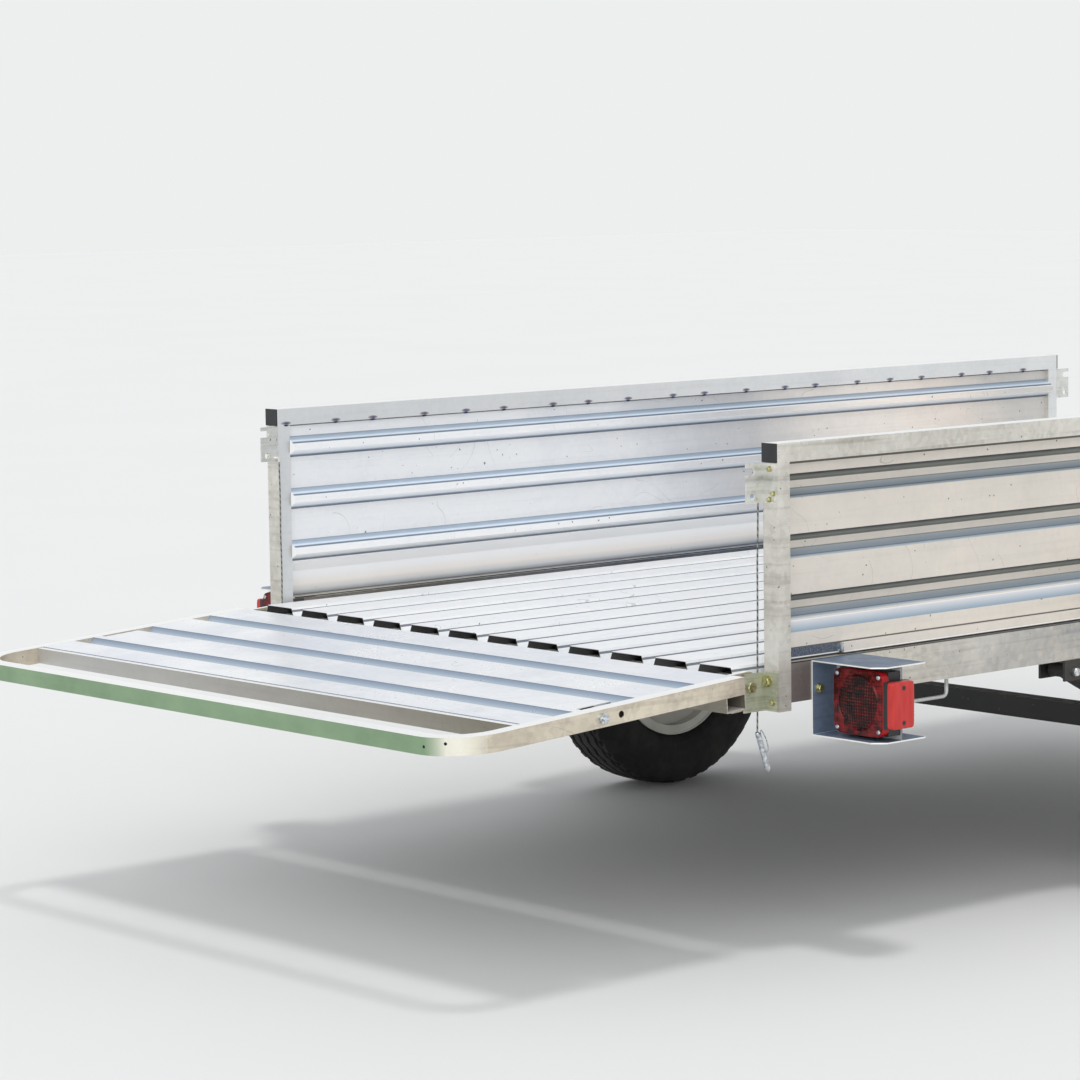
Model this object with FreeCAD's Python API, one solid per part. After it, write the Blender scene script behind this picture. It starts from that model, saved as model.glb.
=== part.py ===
"""Single-axle utility trailer: galvanised bolt-together bed with a drop gate.

Millimetres. +X to the trailer's right, +Y forward to the hitch, +Z up. The origin is on the ground
at the middle of the bounding box. Heights are above the ground that the tyres stand on; lengths
along the bed are counted from the rear faces of the rear posts, which lie at Y = BED_REAR.
"""
import FreeCAD, Part
import math
import os

V = FreeCAD.Vector

# Bed and body, from the photograph
BED_WIDTH = 1440.0
BED_LENGTH = 2360.0
SIDE_HEIGHT = 379.0
FRAME_TUBE = 70.0
DECK_BELOW_FRAME = 6.0
POST_BELOW_FRAME = 14.0

# Running gear: a 5.30-12 tyre on a 12 inch rim, and springs that carry the frame over the axle
AXLE_SIDE = 42.0
SPRING_RISE = 155.0
TYRE_RADIUS = 281.0
TYRE_WIDTH = 137.0
RIM_SEAT_RADIUS = 152.4
RIM_WIDTH = 101.6
AXLE_SETBACK = 1155.0
TYRE_TO_BED = 25.0

# Drawbar
TONGUE_REACH = 1150.0
TONGUE_SIDE = 60.0
BALL_RADIUS = 25.7

# Gate
GATE_LENGTH = 683.0
GATE_DROOP = 3.42
GATE_TUBE_X = 28.0
GATE_TUBE_Z = 30.0
GATE_RISE = 12.6
HINGE_BACK = 40.0
HINGE_BELOW_FRAME = 39.0

# Sheet and tube walls
SHEET = 1.2
TUBE_WALL = 2.0
FRAME_WALL = 3.0

HALF = BED_WIDTH / 2
DROOP = math.radians(GATE_DROOP)
GATE_REACH = GATE_LENGTH * math.cos(DROOP) + (GATE_RISE + GATE_TUBE_Z / 2) * math.sin(DROOP)
BED_REAR = (GATE_REACH + HINGE_BACK - BED_LENGTH - TONGUE_REACH) / 2
BED_FRONT = BED_REAR + BED_LENGTH
AXLE_TOP = TYRE_RADIUS + AXLE_SIDE / 2
FRAME_BOTTOM = AXLE_TOP + SPRING_RISE
FRAME_TOP = FRAME_BOTTOM + FRAME_TUBE
TOP_HEIGHT = FRAME_TOP + SIDE_HEIGHT
AXLE_Y = BED_REAR + AXLE_SETBACK
SIDES = (("left", -1), ("right", 1))


def save(name, shape):
    """Write one piece, as a single solid or as solids that stand apart."""
    shape.exportStep("parts/%s.step" % name)


def box(x0, x1, y0, y1, z0, z1):
    """Rectangular block between two corners."""
    return Part.makeBox(x1 - x0, y1 - y0, z1 - z0, V(x0, y0, z0))


def rod(start, end, radius):
    """Round bar between two points."""
    start, end = V(*start), V(*end)
    return Part.makeCylinder(radius, (end - start).Length, start, end - start)


def prism(points, to_space, along):
    """Solid of a flat outline, placed by to_space and pushed along a vector."""
    corners = [V(*to_space(a, b)) for a, b in points]
    face = Part.Face(Part.makePolygon(corners + corners[:1]))
    return face.extrude(V(*along))


def mirrored(shape, side):
    """The piece itself on the right (+1), or its mirror image on the left (-1)."""
    if side > 0:
        return shape
    return shape.mirror(V(0, 0, 0), V(1, 0, 0))


def fused(shapes):
    """Join touching shapes and drop the seams between coplanar faces."""
    shapes = list(shapes)
    if len(shapes) == 1:
        return shapes[0]
    return shapes[0].fuse(shapes[1:]).removeSplitter()


def group(shapes):
    """Solids of one node that stand apart."""
    return Part.makeCompound(list(shapes))


# Frame: two channel side rails open to the inside, and cross members between them

RAIL_FLANGE = 40.0
CROSS_WIDTH = 40.0
REAR_CROSS_SETBACK = 4.0
POST_Y = 30.0
POST_X = 35.0
MID_CROSSES = (620.0, 1180.0, 1740.0)


def channel_rail():
    """Right side rail: a channel on edge with its web outside."""
    y0, y1 = BED_REAR + POST_Y, BED_FRONT - POST_Y
    outer = box(HALF - RAIL_FLANGE, HALF, y0, y1, FRAME_BOTTOM, FRAME_TOP)
    hollow = box(HALF - RAIL_FLANGE - 1, HALF - FRAME_WALL, y0 - 1, y1 + 1,
                 FRAME_BOTTOM + FRAME_WALL, FRAME_TOP - FRAME_WALL)
    return outer.cut(hollow)


CROSS_BOTTOM = FRAME_BOTTOM + FRAME_WALL
DECK_TOP = FRAME_TOP - DECK_BELOW_FRAME
DECK_RISE = 22.0
DECK_FLOOR = DECK_TOP - DECK_RISE - SHEET
CROSS_TOP = DECK_FLOOR


def cross_member(y0, half_length):
    """Channel across the bed, open downwards, with its top under the deck."""
    y1 = y0 + CROSS_WIDTH
    outer = box(-half_length, half_length, y0, y1, CROSS_BOTTOM, CROSS_TOP)
    hollow = box(-half_length - 1, half_length + 1, y0 + FRAME_WALL, y1 - FRAME_WALL,
                 CROSS_BOTTOM - 1, CROSS_TOP - FRAME_WALL)
    return outer.cut(hollow)


# Deck: one corrugated floor sheet, its crests running fore and aft

CREST_PITCH = 112.6
CREST_TOP = 76.0
CREST_BASE = 93.0
HINGE_STRIP = 52.0
DECK_OVERHANG = 54.0
DECK_EDGE = HALF - FRAME_WALL - 23.0
CREST_COUNT = int((2 * (HALF - HINGE_STRIP) - CREST_BASE) / CREST_PITCH) + 1


def deck_sheet():
    """Corrugated sheet, trimmed round the posts and beside the gate's hinges."""
    top = [(-DECK_EDGE, DECK_FLOOR + SHEET)]
    for i in range(CREST_COUNT):
        mid = (i - (CREST_COUNT - 1) / 2) * CREST_PITCH
        top += [(mid - CREST_BASE / 2, DECK_FLOOR + SHEET), (mid - CREST_TOP / 2, DECK_TOP),
                (mid + CREST_TOP / 2, DECK_TOP), (mid + CREST_BASE / 2, DECK_FLOOR + SHEET)]
    top.append((DECK_EDGE, DECK_FLOOR + SHEET))
    outline = top + [(x, z - SHEET) for x, z in reversed(top)]
    y0 = BED_REAR - DECK_OVERHANG
    sheet = prism(outline, lambda x, z: (x, y0, z), (0, BED_LENGTH + DECK_OVERHANG, 0))
    crest_edge = (CREST_COUNT - 1) / 2 * CREST_PITCH + CREST_BASE / 2
    trims = []
    for _, side in SIDES:
        rear = box(crest_edge, HALF, y0 - 1, BED_REAR + POST_Y + 2, DECK_FLOOR - 1, DECK_TOP + 1)
        front = box(HALF - POST_X - 2, HALF, BED_FRONT - POST_Y - 2, BED_FRONT + 1,
                    DECK_FLOOR - 1, DECK_TOP + 1)
        trims += [mirrored(rear, side), mirrored(front, side)]
    return sheet.cut(trims)


# Sides: ribbed sheet between the posts, under a box top rail

RAIL_HEIGHT = 33.0
PANEL_X = HALF - 23.0
RIB_DEPTH = 25.0
RIB_HEIGHT = 42.0
RIB_FACE = 12.0
RIB_FIRST = 77.5
RIB_PITCH = 104.65
RIB_COUNT = int((SIDE_HEIGHT - RIB_FIRST - RIB_HEIGHT / 2) / RIB_PITCH) + 1
FOOT_HEIGHT = 49.0
FOOT_SLOPE = 19.0
FOOT_OUT = 10.0
SILL_SETBACK = 165.0
SILL_DEPTH = 19.0
SILL_HEIGHT = 17.0
SILL_LIFT = 3.5
CAP_THICKNESS = 3.0


def side_panel():
    """Right side sheet: ribs pressed inwards, a foot set outwards and a strip along the foot."""
    z = TOP_HEIGHT - RAIL_HEIGHT
    line = [(PANEL_X, z)]
    for i in range(RIB_COUNT):
        mid = TOP_HEIGHT - RIB_FIRST - i * RIB_PITCH
        line += [(PANEL_X, mid + RIB_HEIGHT / 2), (PANEL_X - RIB_DEPTH, mid + RIB_FACE / 2),
                 (PANEL_X - RIB_DEPTH, mid - RIB_FACE / 2), (PANEL_X, mid - RIB_HEIGHT / 2)]
    foot_x, foot_z = PANEL_X + FOOT_OUT, FRAME_TOP + FOOT_HEIGHT
    line += [(PANEL_X, foot_z + FOOT_SLOPE), (foot_x, foot_z), (foot_x, FRAME_TOP)]
    outline = line + [(x - SHEET, z) for x, z in reversed(line)]
    y0, length = BED_REAR + POST_Y, BED_LENGTH - 2 * POST_Y
    sheet = prism(outline, lambda x, z: (x, y0, z), (0, length, 0))
    sill = box(foot_x, PANEL_X + SILL_DEPTH, BED_REAR + SILL_SETBACK, BED_FRONT - SILL_SETBACK,
               FRAME_TOP + SILL_LIFT, FRAME_TOP + SILL_LIFT + SILL_HEIGHT)
    return fused([sheet, sill])


def top_rail():
    """Right top rail: box tube over the posts, open at the ends under its caps."""
    z0 = TOP_HEIGHT - RAIL_HEIGHT
    outer = box(HALF - POST_X, HALF, BED_REAR, BED_FRONT, z0, TOP_HEIGHT)
    inner = box(HALF - POST_X + TUBE_WALL, HALF - TUBE_WALL, BED_REAR - 1, BED_FRONT + 1,
                z0 + TUBE_WALL, TOP_HEIGHT - TUBE_WALL)
    return outer.cut(inner)


def rail_cap(y, outward):
    """Plastic plug in a top rail's end, with its flat head outside."""
    z0 = TOP_HEIGHT - RAIL_HEIGHT
    head = [y, y + outward * CAP_THICKNESS]
    plug = [y, y - outward * 12.0]
    body = box(HALF - POST_X, HALF, min(head), max(head), z0, TOP_HEIGHT)
    stem = box(HALF - POST_X + TUBE_WALL, HALF - TUBE_WALL, min(plug), max(plug),
               z0 + TUBE_WALL, TOP_HEIGHT - TUBE_WALL)
    return fused([body, stem])


def post(y0):
    """Right corner post: box tube from the top rail to below the frame."""
    z0, z1 = FRAME_BOTTOM - POST_BELOW_FRAME, TOP_HEIGHT - RAIL_HEIGHT
    outer = box(HALF - POST_X, HALF, y0, y0 + POST_Y, z0, z1)
    inner = box(HALF - POST_X + TUBE_WALL, HALF - TUBE_WALL, y0 + TUBE_WALL,
                y0 + POST_Y - TUBE_WALL, z0 - 1, z1 + 1)
    return outer.cut(inner)


# Gate: a bent tube, a beam at the hinge, a cross tube and a ribbed sheet between them.
# It is modelled level with its hinge and then let down by GATE_DROOP onto its stop.

HINGE_Y = BED_REAR - HINGE_BACK
HINGE_Z = FRAME_TOP - HINGE_BELOW_FRAME
GATE_CORNER = 100.0
BEAM_Y = 45.0
BEAM_Z = 55.0
BEAM_GAP = 41.0
CROSS_TUBE_Y = 24.0
CROSS_TUBE_FROM_HINGE = 511.0
GATE_SHEET_GAP = 0.3
GROOVES = (152.0, 291.0, 430.0)
GROOVE_OPEN = 44.0
GROOVE_FLOOR = 14.0
GROOVE_DEPTH = 16.0

GATE_TOP = HINGE_Z + GATE_RISE + GATE_TUBE_Z / 2
GATE_BOTTOM = GATE_TOP - GATE_TUBE_Z
GATE_INNER = HALF - GATE_TUBE_X
GATE_REAR = HINGE_Y - GATE_LENGTH
BEAM_FRONT = HINGE_Y - BEAM_GAP

# Latch: a stud through the gate's tube slides into a slot in the leaf on the post, STUD_DROP
# under the rail's top, and a pin through the hole nearer to the hinge locks it
STUD_DROP = 48.0
STUD_RADIUS = 5.0
PIN_TO_STUD = 43.0
STUD_REACH = TOP_HEIGHT - STUD_DROP - HINGE_Z
PIN_REACH = STUD_REACH - PIN_TO_STUD
PIN_HOLE = 6.0
LATCH_SHEET = 3.0
LATCH_LEAF = 42.0
LATCH_BELOW = 12.0
LATCH_ABOVE = 14.0
LEAF_TO_TUBE = 5.0
SLIT_GAP = 5.5
LEAF_OUTER = GATE_INNER - LEAF_TO_TUBE


def drooped(shape):
    """Let a level gate piece down about the hinge axis."""
    lowered = shape.copy()
    lowered.rotate(V(0, HINGE_Y, HINGE_Z), V(1, 0, 0), GATE_DROOP)
    return lowered


def u_face(inset, y_front, z):
    """Outline of the bent tube seen from above, moved in from its outer face by inset."""
    radius = GATE_CORNER - inset
    x, y = HALF - inset, GATE_REAR + inset
    mid = radius * math.sqrt(0.5)
    cx, cy = x - radius, y + radius
    edges = [
        Part.LineSegment(V(-x, y_front, z), V(-x, cy, z)),
        Part.Arc(V(-x, cy, z), V(-cx - mid, cy - mid, z), V(-cx, y, z)),
        Part.LineSegment(V(-cx, y, z), V(cx, y, z)),
        Part.Arc(V(cx, y, z), V(cx + mid, cy - mid, z), V(x, cy, z)),
        Part.LineSegment(V(x, cy, z), V(x, y_front, z)),
        Part.LineSegment(V(x, y_front, z), V(-x, y_front, z)),
    ]
    return Part.Face(Part.Wire([e.toShape() for e in edges]))


def bent_tube():
    """The gate's outer tube: two sides and the rear bar in one bend."""
    height = V(0, 0, GATE_TUBE_Z)
    outer = u_face(0, BEAM_FRONT, GATE_BOTTOM).extrude(height)
    inside = u_face(GATE_TUBE_X, BEAM_FRONT + 1, GATE_BOTTOM - 1).extrude(height + V(0, 0, 2))
    bore = u_face(TUBE_WALL, BEAM_FRONT + 1, GATE_BOTTOM + TUBE_WALL).extrude(
        V(0, 0, GATE_TUBE_Z - 2 * TUBE_WALL))
    core = u_face(GATE_TUBE_X - TUBE_WALL, BEAM_FRONT + 2, GATE_BOTTOM - 1).extrude(
        height + V(0, 0, 2))
    return outer.cut(inside).cut(bore.cut(core))


def hinge_lug():
    """Right gate lug: a cheek with a round nose on the hinge bolt, and a top flange."""
    x0, x1 = LUG_X - LUG_SHEET, LUG_X
    top = GATE_TOP - SHEET
    nose = top - HINGE_Z
    cheek = fused([
        rod((x0, HINGE_Y, HINGE_Z), (x1, HINGE_Y, HINGE_Z), nose),
        box(x0, x1, BEAM_FRONT, HINGE_Y, HINGE_Z - LUG_BELOW, top),
        box(x0, x1, HINGE_Y, HINGE_Y + nose, HINGE_Z - LUG_BELOW, HINGE_Z),
    ])
    flange = box(x1 - LUG_FLANGE, x1, BEAM_FRONT, HINGE_Y + 4.0, top - LUG_SHEET, top)
    bolt_way = rod((x0 - 1, HINGE_Y, HINGE_Z), (x1 + 1, HINGE_Y, HINGE_Z),
                   HINGE_BOLT + HINGE_RUNNING)
    return fused([cheek, flange]).cut(bolt_way)


def gate_frame():
    """Everything welded: bent tube, beam with open ends below it, cross tube and two lugs."""
    beam_top = GATE_TOP - SHEET
    beam_rear = BEAM_FRONT - BEAM_Y
    beam = fused([
        box(-GATE_INNER, GATE_INNER, beam_rear, BEAM_FRONT, beam_top - BEAM_Z, beam_top),
        box(-HALF, HALF, beam_rear, BEAM_FRONT, beam_top - BEAM_Z, GATE_BOTTOM),
    ]).cut(box(-HALF - 1, HALF + 1, beam_rear + TUBE_WALL, BEAM_FRONT - TUBE_WALL,
               beam_top - BEAM_Z + TUBE_WALL, beam_top - TUBE_WALL))
    cross_front = HINGE_Y - CROSS_TUBE_FROM_HINGE
    cross = box(-GATE_INNER, GATE_INNER, cross_front - CROSS_TUBE_Y, cross_front,
                GATE_BOTTOM, beam_top).cut(
        box(-HALF, HALF, cross_front - CROSS_TUBE_Y + TUBE_WALL, cross_front - TUBE_WALL,
            GATE_BOTTOM + TUBE_WALL, beam_top - TUBE_WALL))
    tube = bent_tube()
    mid_z = HINGE_Z + GATE_RISE
    holes = []
    for _, side in SIDES:
        for reach, radius in ((STUD_REACH, STUD_RADIUS), (PIN_REACH, PIN_HOLE)):
            holes.append(rod((side * (GATE_INNER - 1), HINGE_Y - reach, mid_z),
                             (side * (HALF + 1), HINGE_Y - reach, mid_z), radius))
    tube = tube.cut(holes)
    lug = hinge_lug()
    return fused([tube, beam, cross, lug, mirrored(lug, -1)])


def gate_sheet():
    """Ribbed gate floor with three grooves across it, and a slit beside each tube."""
    top = [(BEAM_FRONT - 2.0, GATE_TOP)]
    for reach in GROOVES:
        y = HINGE_Y - reach
        top += [(y + GROOVE_OPEN / 2, GATE_TOP), (y + GROOVE_FLOOR / 2, GATE_TOP - GROOVE_DEPTH),
                (y - GROOVE_FLOOR / 2, GATE_TOP - GROOVE_DEPTH), (y - GROOVE_OPEN / 2, GATE_TOP)]
    top.append((HINGE_Y - CROSS_TUBE_FROM_HINGE - CROSS_TUBE_Y / 2, GATE_TOP))
    outline = top + [(y, z - SHEET) for y, z in reversed(top)]
    x0 = GATE_INNER - GATE_SHEET_GAP
    sheet = prism(outline, lambda y, z: (-x0, y, z), (2 * x0, 0, 0))
    slits = []
    for _, side in SIDES:
        slit = box(LEAF_OUTER - LATCH_SHEET - SLIT_GAP, GATE_INNER + 1,
                   HINGE_Y - STUD_REACH - LATCH_ABOVE - SLIT_GAP,
                   HINGE_Y - PIN_REACH + LATCH_BELOW + SLIT_GAP,
                   GATE_TOP - GROOVE_DEPTH - 5, GATE_TOP + 1)
        slits.append(mirrored(slit, side))
    return sheet.cut(slits)


def gate_stud():
    """Right latch stud: a bolt through the tube, headed outside, plain inside."""
    y, z = HINGE_Y - STUD_REACH, HINGE_Z + GATE_RISE
    shank = rod((LEAF_OUTER - LATCH_SHEET - 2, y, z), (HALF + 12, y, z), STUD_RADIUS)
    head = rod((HALF, y, z), (HALF + 7, y, z), 9.0)
    return fused([shank, head])


# Brackets on the posts

HINGE_BOLT = 6.0
HINGE_RUNNING = 0.08
LUG_SHEET = 4.0
LUG_BELOW = 40.0
LUG_FLANGE = 10.0
LEAF_SHEET = 4.0
LEAF_PLAY = 2.0
LEAF_WIDTH = 34.0
LEAF_REACH = 53.0
LEAF_UP = 23.0
LEAF_DOWN = 44.0
LEAF_X = HALF - LEAF_WIDTH
LUG_X = LEAF_X - LEAF_PLAY


def hinge_bracket():
    """Right hinge bracket: flange on the post's rear face, leaf beside the gate's lug, bolt."""
    x0, nut_x = LEAF_X, LUG_X - LUG_SHEET - 1
    z0, z1 = HINGE_Z - LEAF_DOWN, HINGE_Z + LEAF_UP
    flange = box(x0, HALF, BED_REAR - LEAF_SHEET, BED_REAR, z0, z1)
    leaf = box(x0, x0 + LEAF_SHEET, BED_REAR - LEAF_REACH, BED_REAR, z0, z1)
    bolt = rod((nut_x - 8, HINGE_Y, HINGE_Z), (x0 + LEAF_SHEET, HINGE_Y, HINGE_Z), HINGE_BOLT)
    nut = rod((nut_x - 7, HINGE_Y, HINGE_Z), (nut_x, HINGE_Y, HINGE_Z), 10.0)
    head = rod((x0 + LEAF_SHEET, HINGE_Y, HINGE_Z), (x0 + LEAF_SHEET + 6, HINGE_Y, HINGE_Z), 10.0)
    return fused([flange, leaf, bolt, nut, head])


def latch_bracket(face_y, outward):
    """Right latch bracket: flange on a post's outer end face, and a leaf with slot and hole."""
    low, high = HINGE_Z + PIN_REACH - LATCH_BELOW, HINGE_Z + STUD_REACH + LATCH_ABOVE
    x0 = LEAF_OUTER - LATCH_SHEET
    ys = sorted((face_y, face_y + outward * LATCH_SHEET))
    flange = box(x0, HALF - 2, ys[0], ys[1], low, high)
    ys = sorted((face_y, face_y + outward * LATCH_LEAF))
    leaf = box(x0, LEAF_OUTER, ys[0], ys[1], low, high)
    seat_y = face_y + outward * (HINGE_BACK - GATE_RISE)
    mouth = STUD_RADIUS + 1.5
    stud_z, pin_z = HINGE_Z + STUD_REACH, HINGE_Z + PIN_REACH
    ys = sorted((seat_y, face_y + outward * (LATCH_LEAF + 1)))
    cuts = [rod((x0 - 1, seat_y, stud_z), (LEAF_OUTER + 1, seat_y, stud_z), mouth),
            box(x0 - 1, LEAF_OUTER + 1, ys[0], ys[1], stud_z - mouth, stud_z + mouth),
            rod((x0 - 1, seat_y, pin_z), (LEAF_OUTER + 1, seat_y, pin_z), PIN_HOLE)]
    return fused([flange, leaf]).cut(cuts)


# Drawbar: one box tube under the cross members, two braces and a ball coupler

TONGUE_TOP = CROSS_BOTTOM
TONGUE_WALL = 3.0
TONGUE_REAR = MID_CROSSES[1] - 20.0
COUPLER_BACK = 220.0
NECK_BACK = 110.0
COUPLER_SHEET = 4.0
BALL_BACK = 34.0
SOCKET_WALL = 8.3
SOCKET_DEPTH = 20.0
BRACE = 40.0
BRACE_WALL = 2.5
BRACE_SPREAD = 560.0
BRACE_REACH = 350.0
BRACE_PAST = 60.0
TONGUE_Z = TONGUE_TOP - TONGUE_SIDE / 2
HITCH_Y = BED_FRONT + TONGUE_REACH
BALL_Y = HITCH_Y - BALL_BACK
BALL_Z = TONGUE_Z - 5.0
LEVER_BACK = 70.0
LEVER_NOSE = 34.0
LEVER_REACH = 96.0
LEVER_GRIP = 22.0
LEVER_RISE = 30.0
LEVER_THICK = 5.0
LEVER_WIDTH = 22.0


def tongue():
    """Drawbar tube from under the middle cross member to inside the coupler."""
    half, y1 = TONGUE_SIDE / 2, HITCH_Y - NECK_BACK
    y0 = BED_REAR + TONGUE_REAR
    outer = box(-half, half, y0, y1, TONGUE_TOP - TONGUE_SIDE, TONGUE_TOP)
    inner = box(-half + TONGUE_WALL, half - TONGUE_WALL, y0 - 1, y1 + 1,
                TONGUE_TOP - TONGUE_SIDE + TONGUE_WALL, TONGUE_TOP - TONGUE_WALL)
    return outer.cut(inner)


def brace():
    """Right brace: box tube from under the front cross member to the tongue's side."""
    start = V(BRACE_SPREAD, BED_FRONT - CROSS_WIDTH, 0)
    end = V(TONGUE_SIDE / 2, BED_FRONT + BRACE_REACH, 0)
    run = (end - start).normalize()
    across = V(-run.y, run.x, 0)

    def tube(width, z0, z1, stretch):
        a, b = start - run * stretch, end + run * BRACE_PAST
        corners = [a + across * (width / 2), b + across * (width / 2),
                   b - across * (width / 2), a - across * (width / 2)]
        corners = [V(c.x, c.y, z0) for c in corners]
        return Part.Face(Part.makePolygon(corners + corners[:1])).extrude(V(0, 0, z1 - z0))

    solid = tube(BRACE, TONGUE_TOP - BRACE, TONGUE_TOP, 0.0)
    bore = tube(BRACE - 2 * BRACE_WALL, TONGUE_TOP - BRACE + BRACE_WALL,
                TONGUE_TOP - BRACE_WALL, 1.0)
    beyond = box(-HALF, TONGUE_SIDE / 2, BED_REAR, HITCH_Y, TONGUE_TOP - 2 * BRACE, TONGUE_TOP + 1)
    return solid.cut([bore, beyond])


def coupler():
    """Pressed coupler: a channel over the tongue's end that narrows to a ball socket."""
    half = TONGUE_SIDE / 2 + COUPLER_SHEET
    sleeve_end = HITCH_Y - NECK_BACK
    outer_r = BALL_RADIUS + SOCKET_WALL
    top = TONGUE_TOP + COUPLER_SHEET
    y0 = HITCH_Y - COUPLER_BACK
    sleeve = box(-half, half, y0, sleeve_end, TONGUE_TOP - TONGUE_SIDE + 6, top).cut(
        box(-TONGUE_SIDE / 2, TONGUE_SIDE / 2, y0 - 1, sleeve_end + 1, 0, TONGUE_TOP))

    def section(y, half_width, z0, z1):
        corners = [V(-half_width, y, z0), V(half_width, y, z0), V(half_width, y, z1),
                   V(-half_width, y, z1)]
        return Part.makePolygon(corners + corners[:1])

    neck = Part.makeLoft([
        section(sleeve_end, half, TONGUE_TOP - TONGUE_SIDE + 6, top),
        section(BALL_Y, outer_r * 0.8, BALL_Z - SOCKET_DEPTH, BALL_Z + outer_r * 0.55)], True, True)
    dome = Part.makeSphere(outer_r, V(0, BALL_Y, BALL_Z)).common(
        box(-HALF, HALF, BALL_Y - outer_r - 1, BALL_Y + outer_r + 1, BALL_Z, BALL_Z + outer_r + 1))
    skirt = rod((0, BALL_Y, BALL_Z - SOCKET_DEPTH), (0, BALL_Y, BALL_Z), outer_r)
    body = fused([sleeve, neck, dome, skirt])
    ball = Part.makeSphere(BALL_RADIUS, V(0, BALL_Y, BALL_Z))
    mouth = rod((0, BALL_Y, BALL_Z - SOCKET_DEPTH - 1), (0, BALL_Y, BALL_Z), BALL_RADIUS)
    hollow = box(-TONGUE_SIDE / 2, TONGUE_SIDE / 2, sleeve_end - 1, BALL_Y - outer_r - 4, 0,
                 TONGUE_TOP - 8)
    return body.cut([ball, mouth, hollow])


def coupler_latch():
    """Lever on top of the coupler, folded down to lock the ball."""
    y, z, t = BALL_Y - LEVER_BACK, TONGUE_TOP + COUPLER_SHEET, LEVER_THICK
    end, rise = y - LEVER_REACH, z + LEVER_RISE
    bend = end + LEVER_GRIP
    outline = [(y + LEVER_NOSE, z), (y + LEVER_NOSE, z + t), (y - t, z + 3 * t), (bend, rise),
               (end, rise), (end, rise - t), (bend, rise - t), (y - 2 * t, z + t), (y - 2 * t, z)]
    return prism(outline, lambda a, b: (-LEVER_WIDTH / 2, a, b), (LEVER_WIDTH, 0, 0))


# Jack: a swivelling screw jack on the tongue's left side, standing on its wheel

JACK_SETBACK = 290.0
JACK_Y = HITCH_Y - JACK_SETBACK
JACK_X = -90.0
JACK_TUBE = 25.0
JACK_BORE = 21.4
JACK_LEG = 21.0
JACK_ABOVE = 210.0
JACK_BELOW = 110.0
JACK_OVERLAP = 160.0
JACK_TOP = TONGUE_Z + JACK_ABOVE
JACK_FOOT = TONGUE_Z - JACK_BELOW
JACK_LEG_TOP = JACK_FOOT + JACK_OVERLAP
JACK_LEG_WALL = 4.0
JACK_WHEEL = 75.0
JACK_WHEEL_WIDTH = 46.0
JACK_AXLE = 6.0
JACK_PLATE = 6.0
JACK_STUB = 28.0
JACK_STUB_END = -52.0
JACK_SWIVEL_GAP = 0.4
JACK_DISC = 38.0
GEAR_HEAD = 26.0
CRANK_SHAFT = 22.0
CRANK_REACH = 120.0
CRANK_HALF = 9.0
CRANK_GRIP = 70.0
FORK_SHEET = 5.0
FORK_HALF = 20.0
FORK_GAP = 6.0


def jack_mount():
    """Plate on the tongue's side and the stub that the jack swivels on."""
    side = -TONGUE_SIDE / 2
    plate = box(side - JACK_PLATE, side, JACK_Y - 45, JACK_Y + 45, TONGUE_TOP - TONGUE_SIDE,
                TONGUE_TOP)
    stub = rod((side - JACK_PLATE, JACK_Y, TONGUE_Z), (JACK_STUB_END, JACK_Y, TONGUE_Z), JACK_STUB)
    return fused([plate, stub])


def jack_tube():
    """Outer tube with its swivel disc, and the gear head on top."""
    pipe = rod((JACK_X, JACK_Y, JACK_FOOT), (JACK_X, JACK_Y, JACK_TOP), JACK_TUBE)
    disc = rod((JACK_STUB_END - JACK_SWIVEL_GAP, JACK_Y, TONGUE_Z),
               (JACK_STUB_END - 7, JACK_Y, TONGUE_Z), JACK_DISC)
    saddle = box(JACK_X, JACK_STUB_END - 7, JACK_Y - 16, JACK_Y + 16, TONGUE_Z - 30, TONGUE_Z + 30)
    head = rod((JACK_X, JACK_Y, JACK_TOP), (JACK_X, JACK_Y, JACK_TOP + GEAR_HEAD), JACK_TUBE + 4)
    bore = rod((JACK_X, JACK_Y, JACK_FOOT - 1), (JACK_X, JACK_Y, JACK_TOP), JACK_BORE)
    return fused([pipe, disc, saddle, head]).cut(bore)


def jack_crank():
    """Crank on the gear head: shaft, arm and grip."""
    z0 = JACK_TOP + GEAR_HEAD
    z1 = z0 + CRANK_SHAFT
    arm_end = JACK_X - CRANK_REACH
    shaft = rod((JACK_X, JACK_Y, z0), (JACK_X, JACK_Y, z1), CRANK_HALF - 2)
    arm = box(arm_end - CRANK_HALF, JACK_X + CRANK_HALF, JACK_Y - CRANK_HALF, JACK_Y + CRANK_HALF,
              z1 - FORK_GAP, z1)
    grip = rod((arm_end, JACK_Y, z1), (arm_end, JACK_Y, z1 + CRANK_GRIP), CRANK_HALF + 4)
    return fused([shaft, arm, grip])


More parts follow.
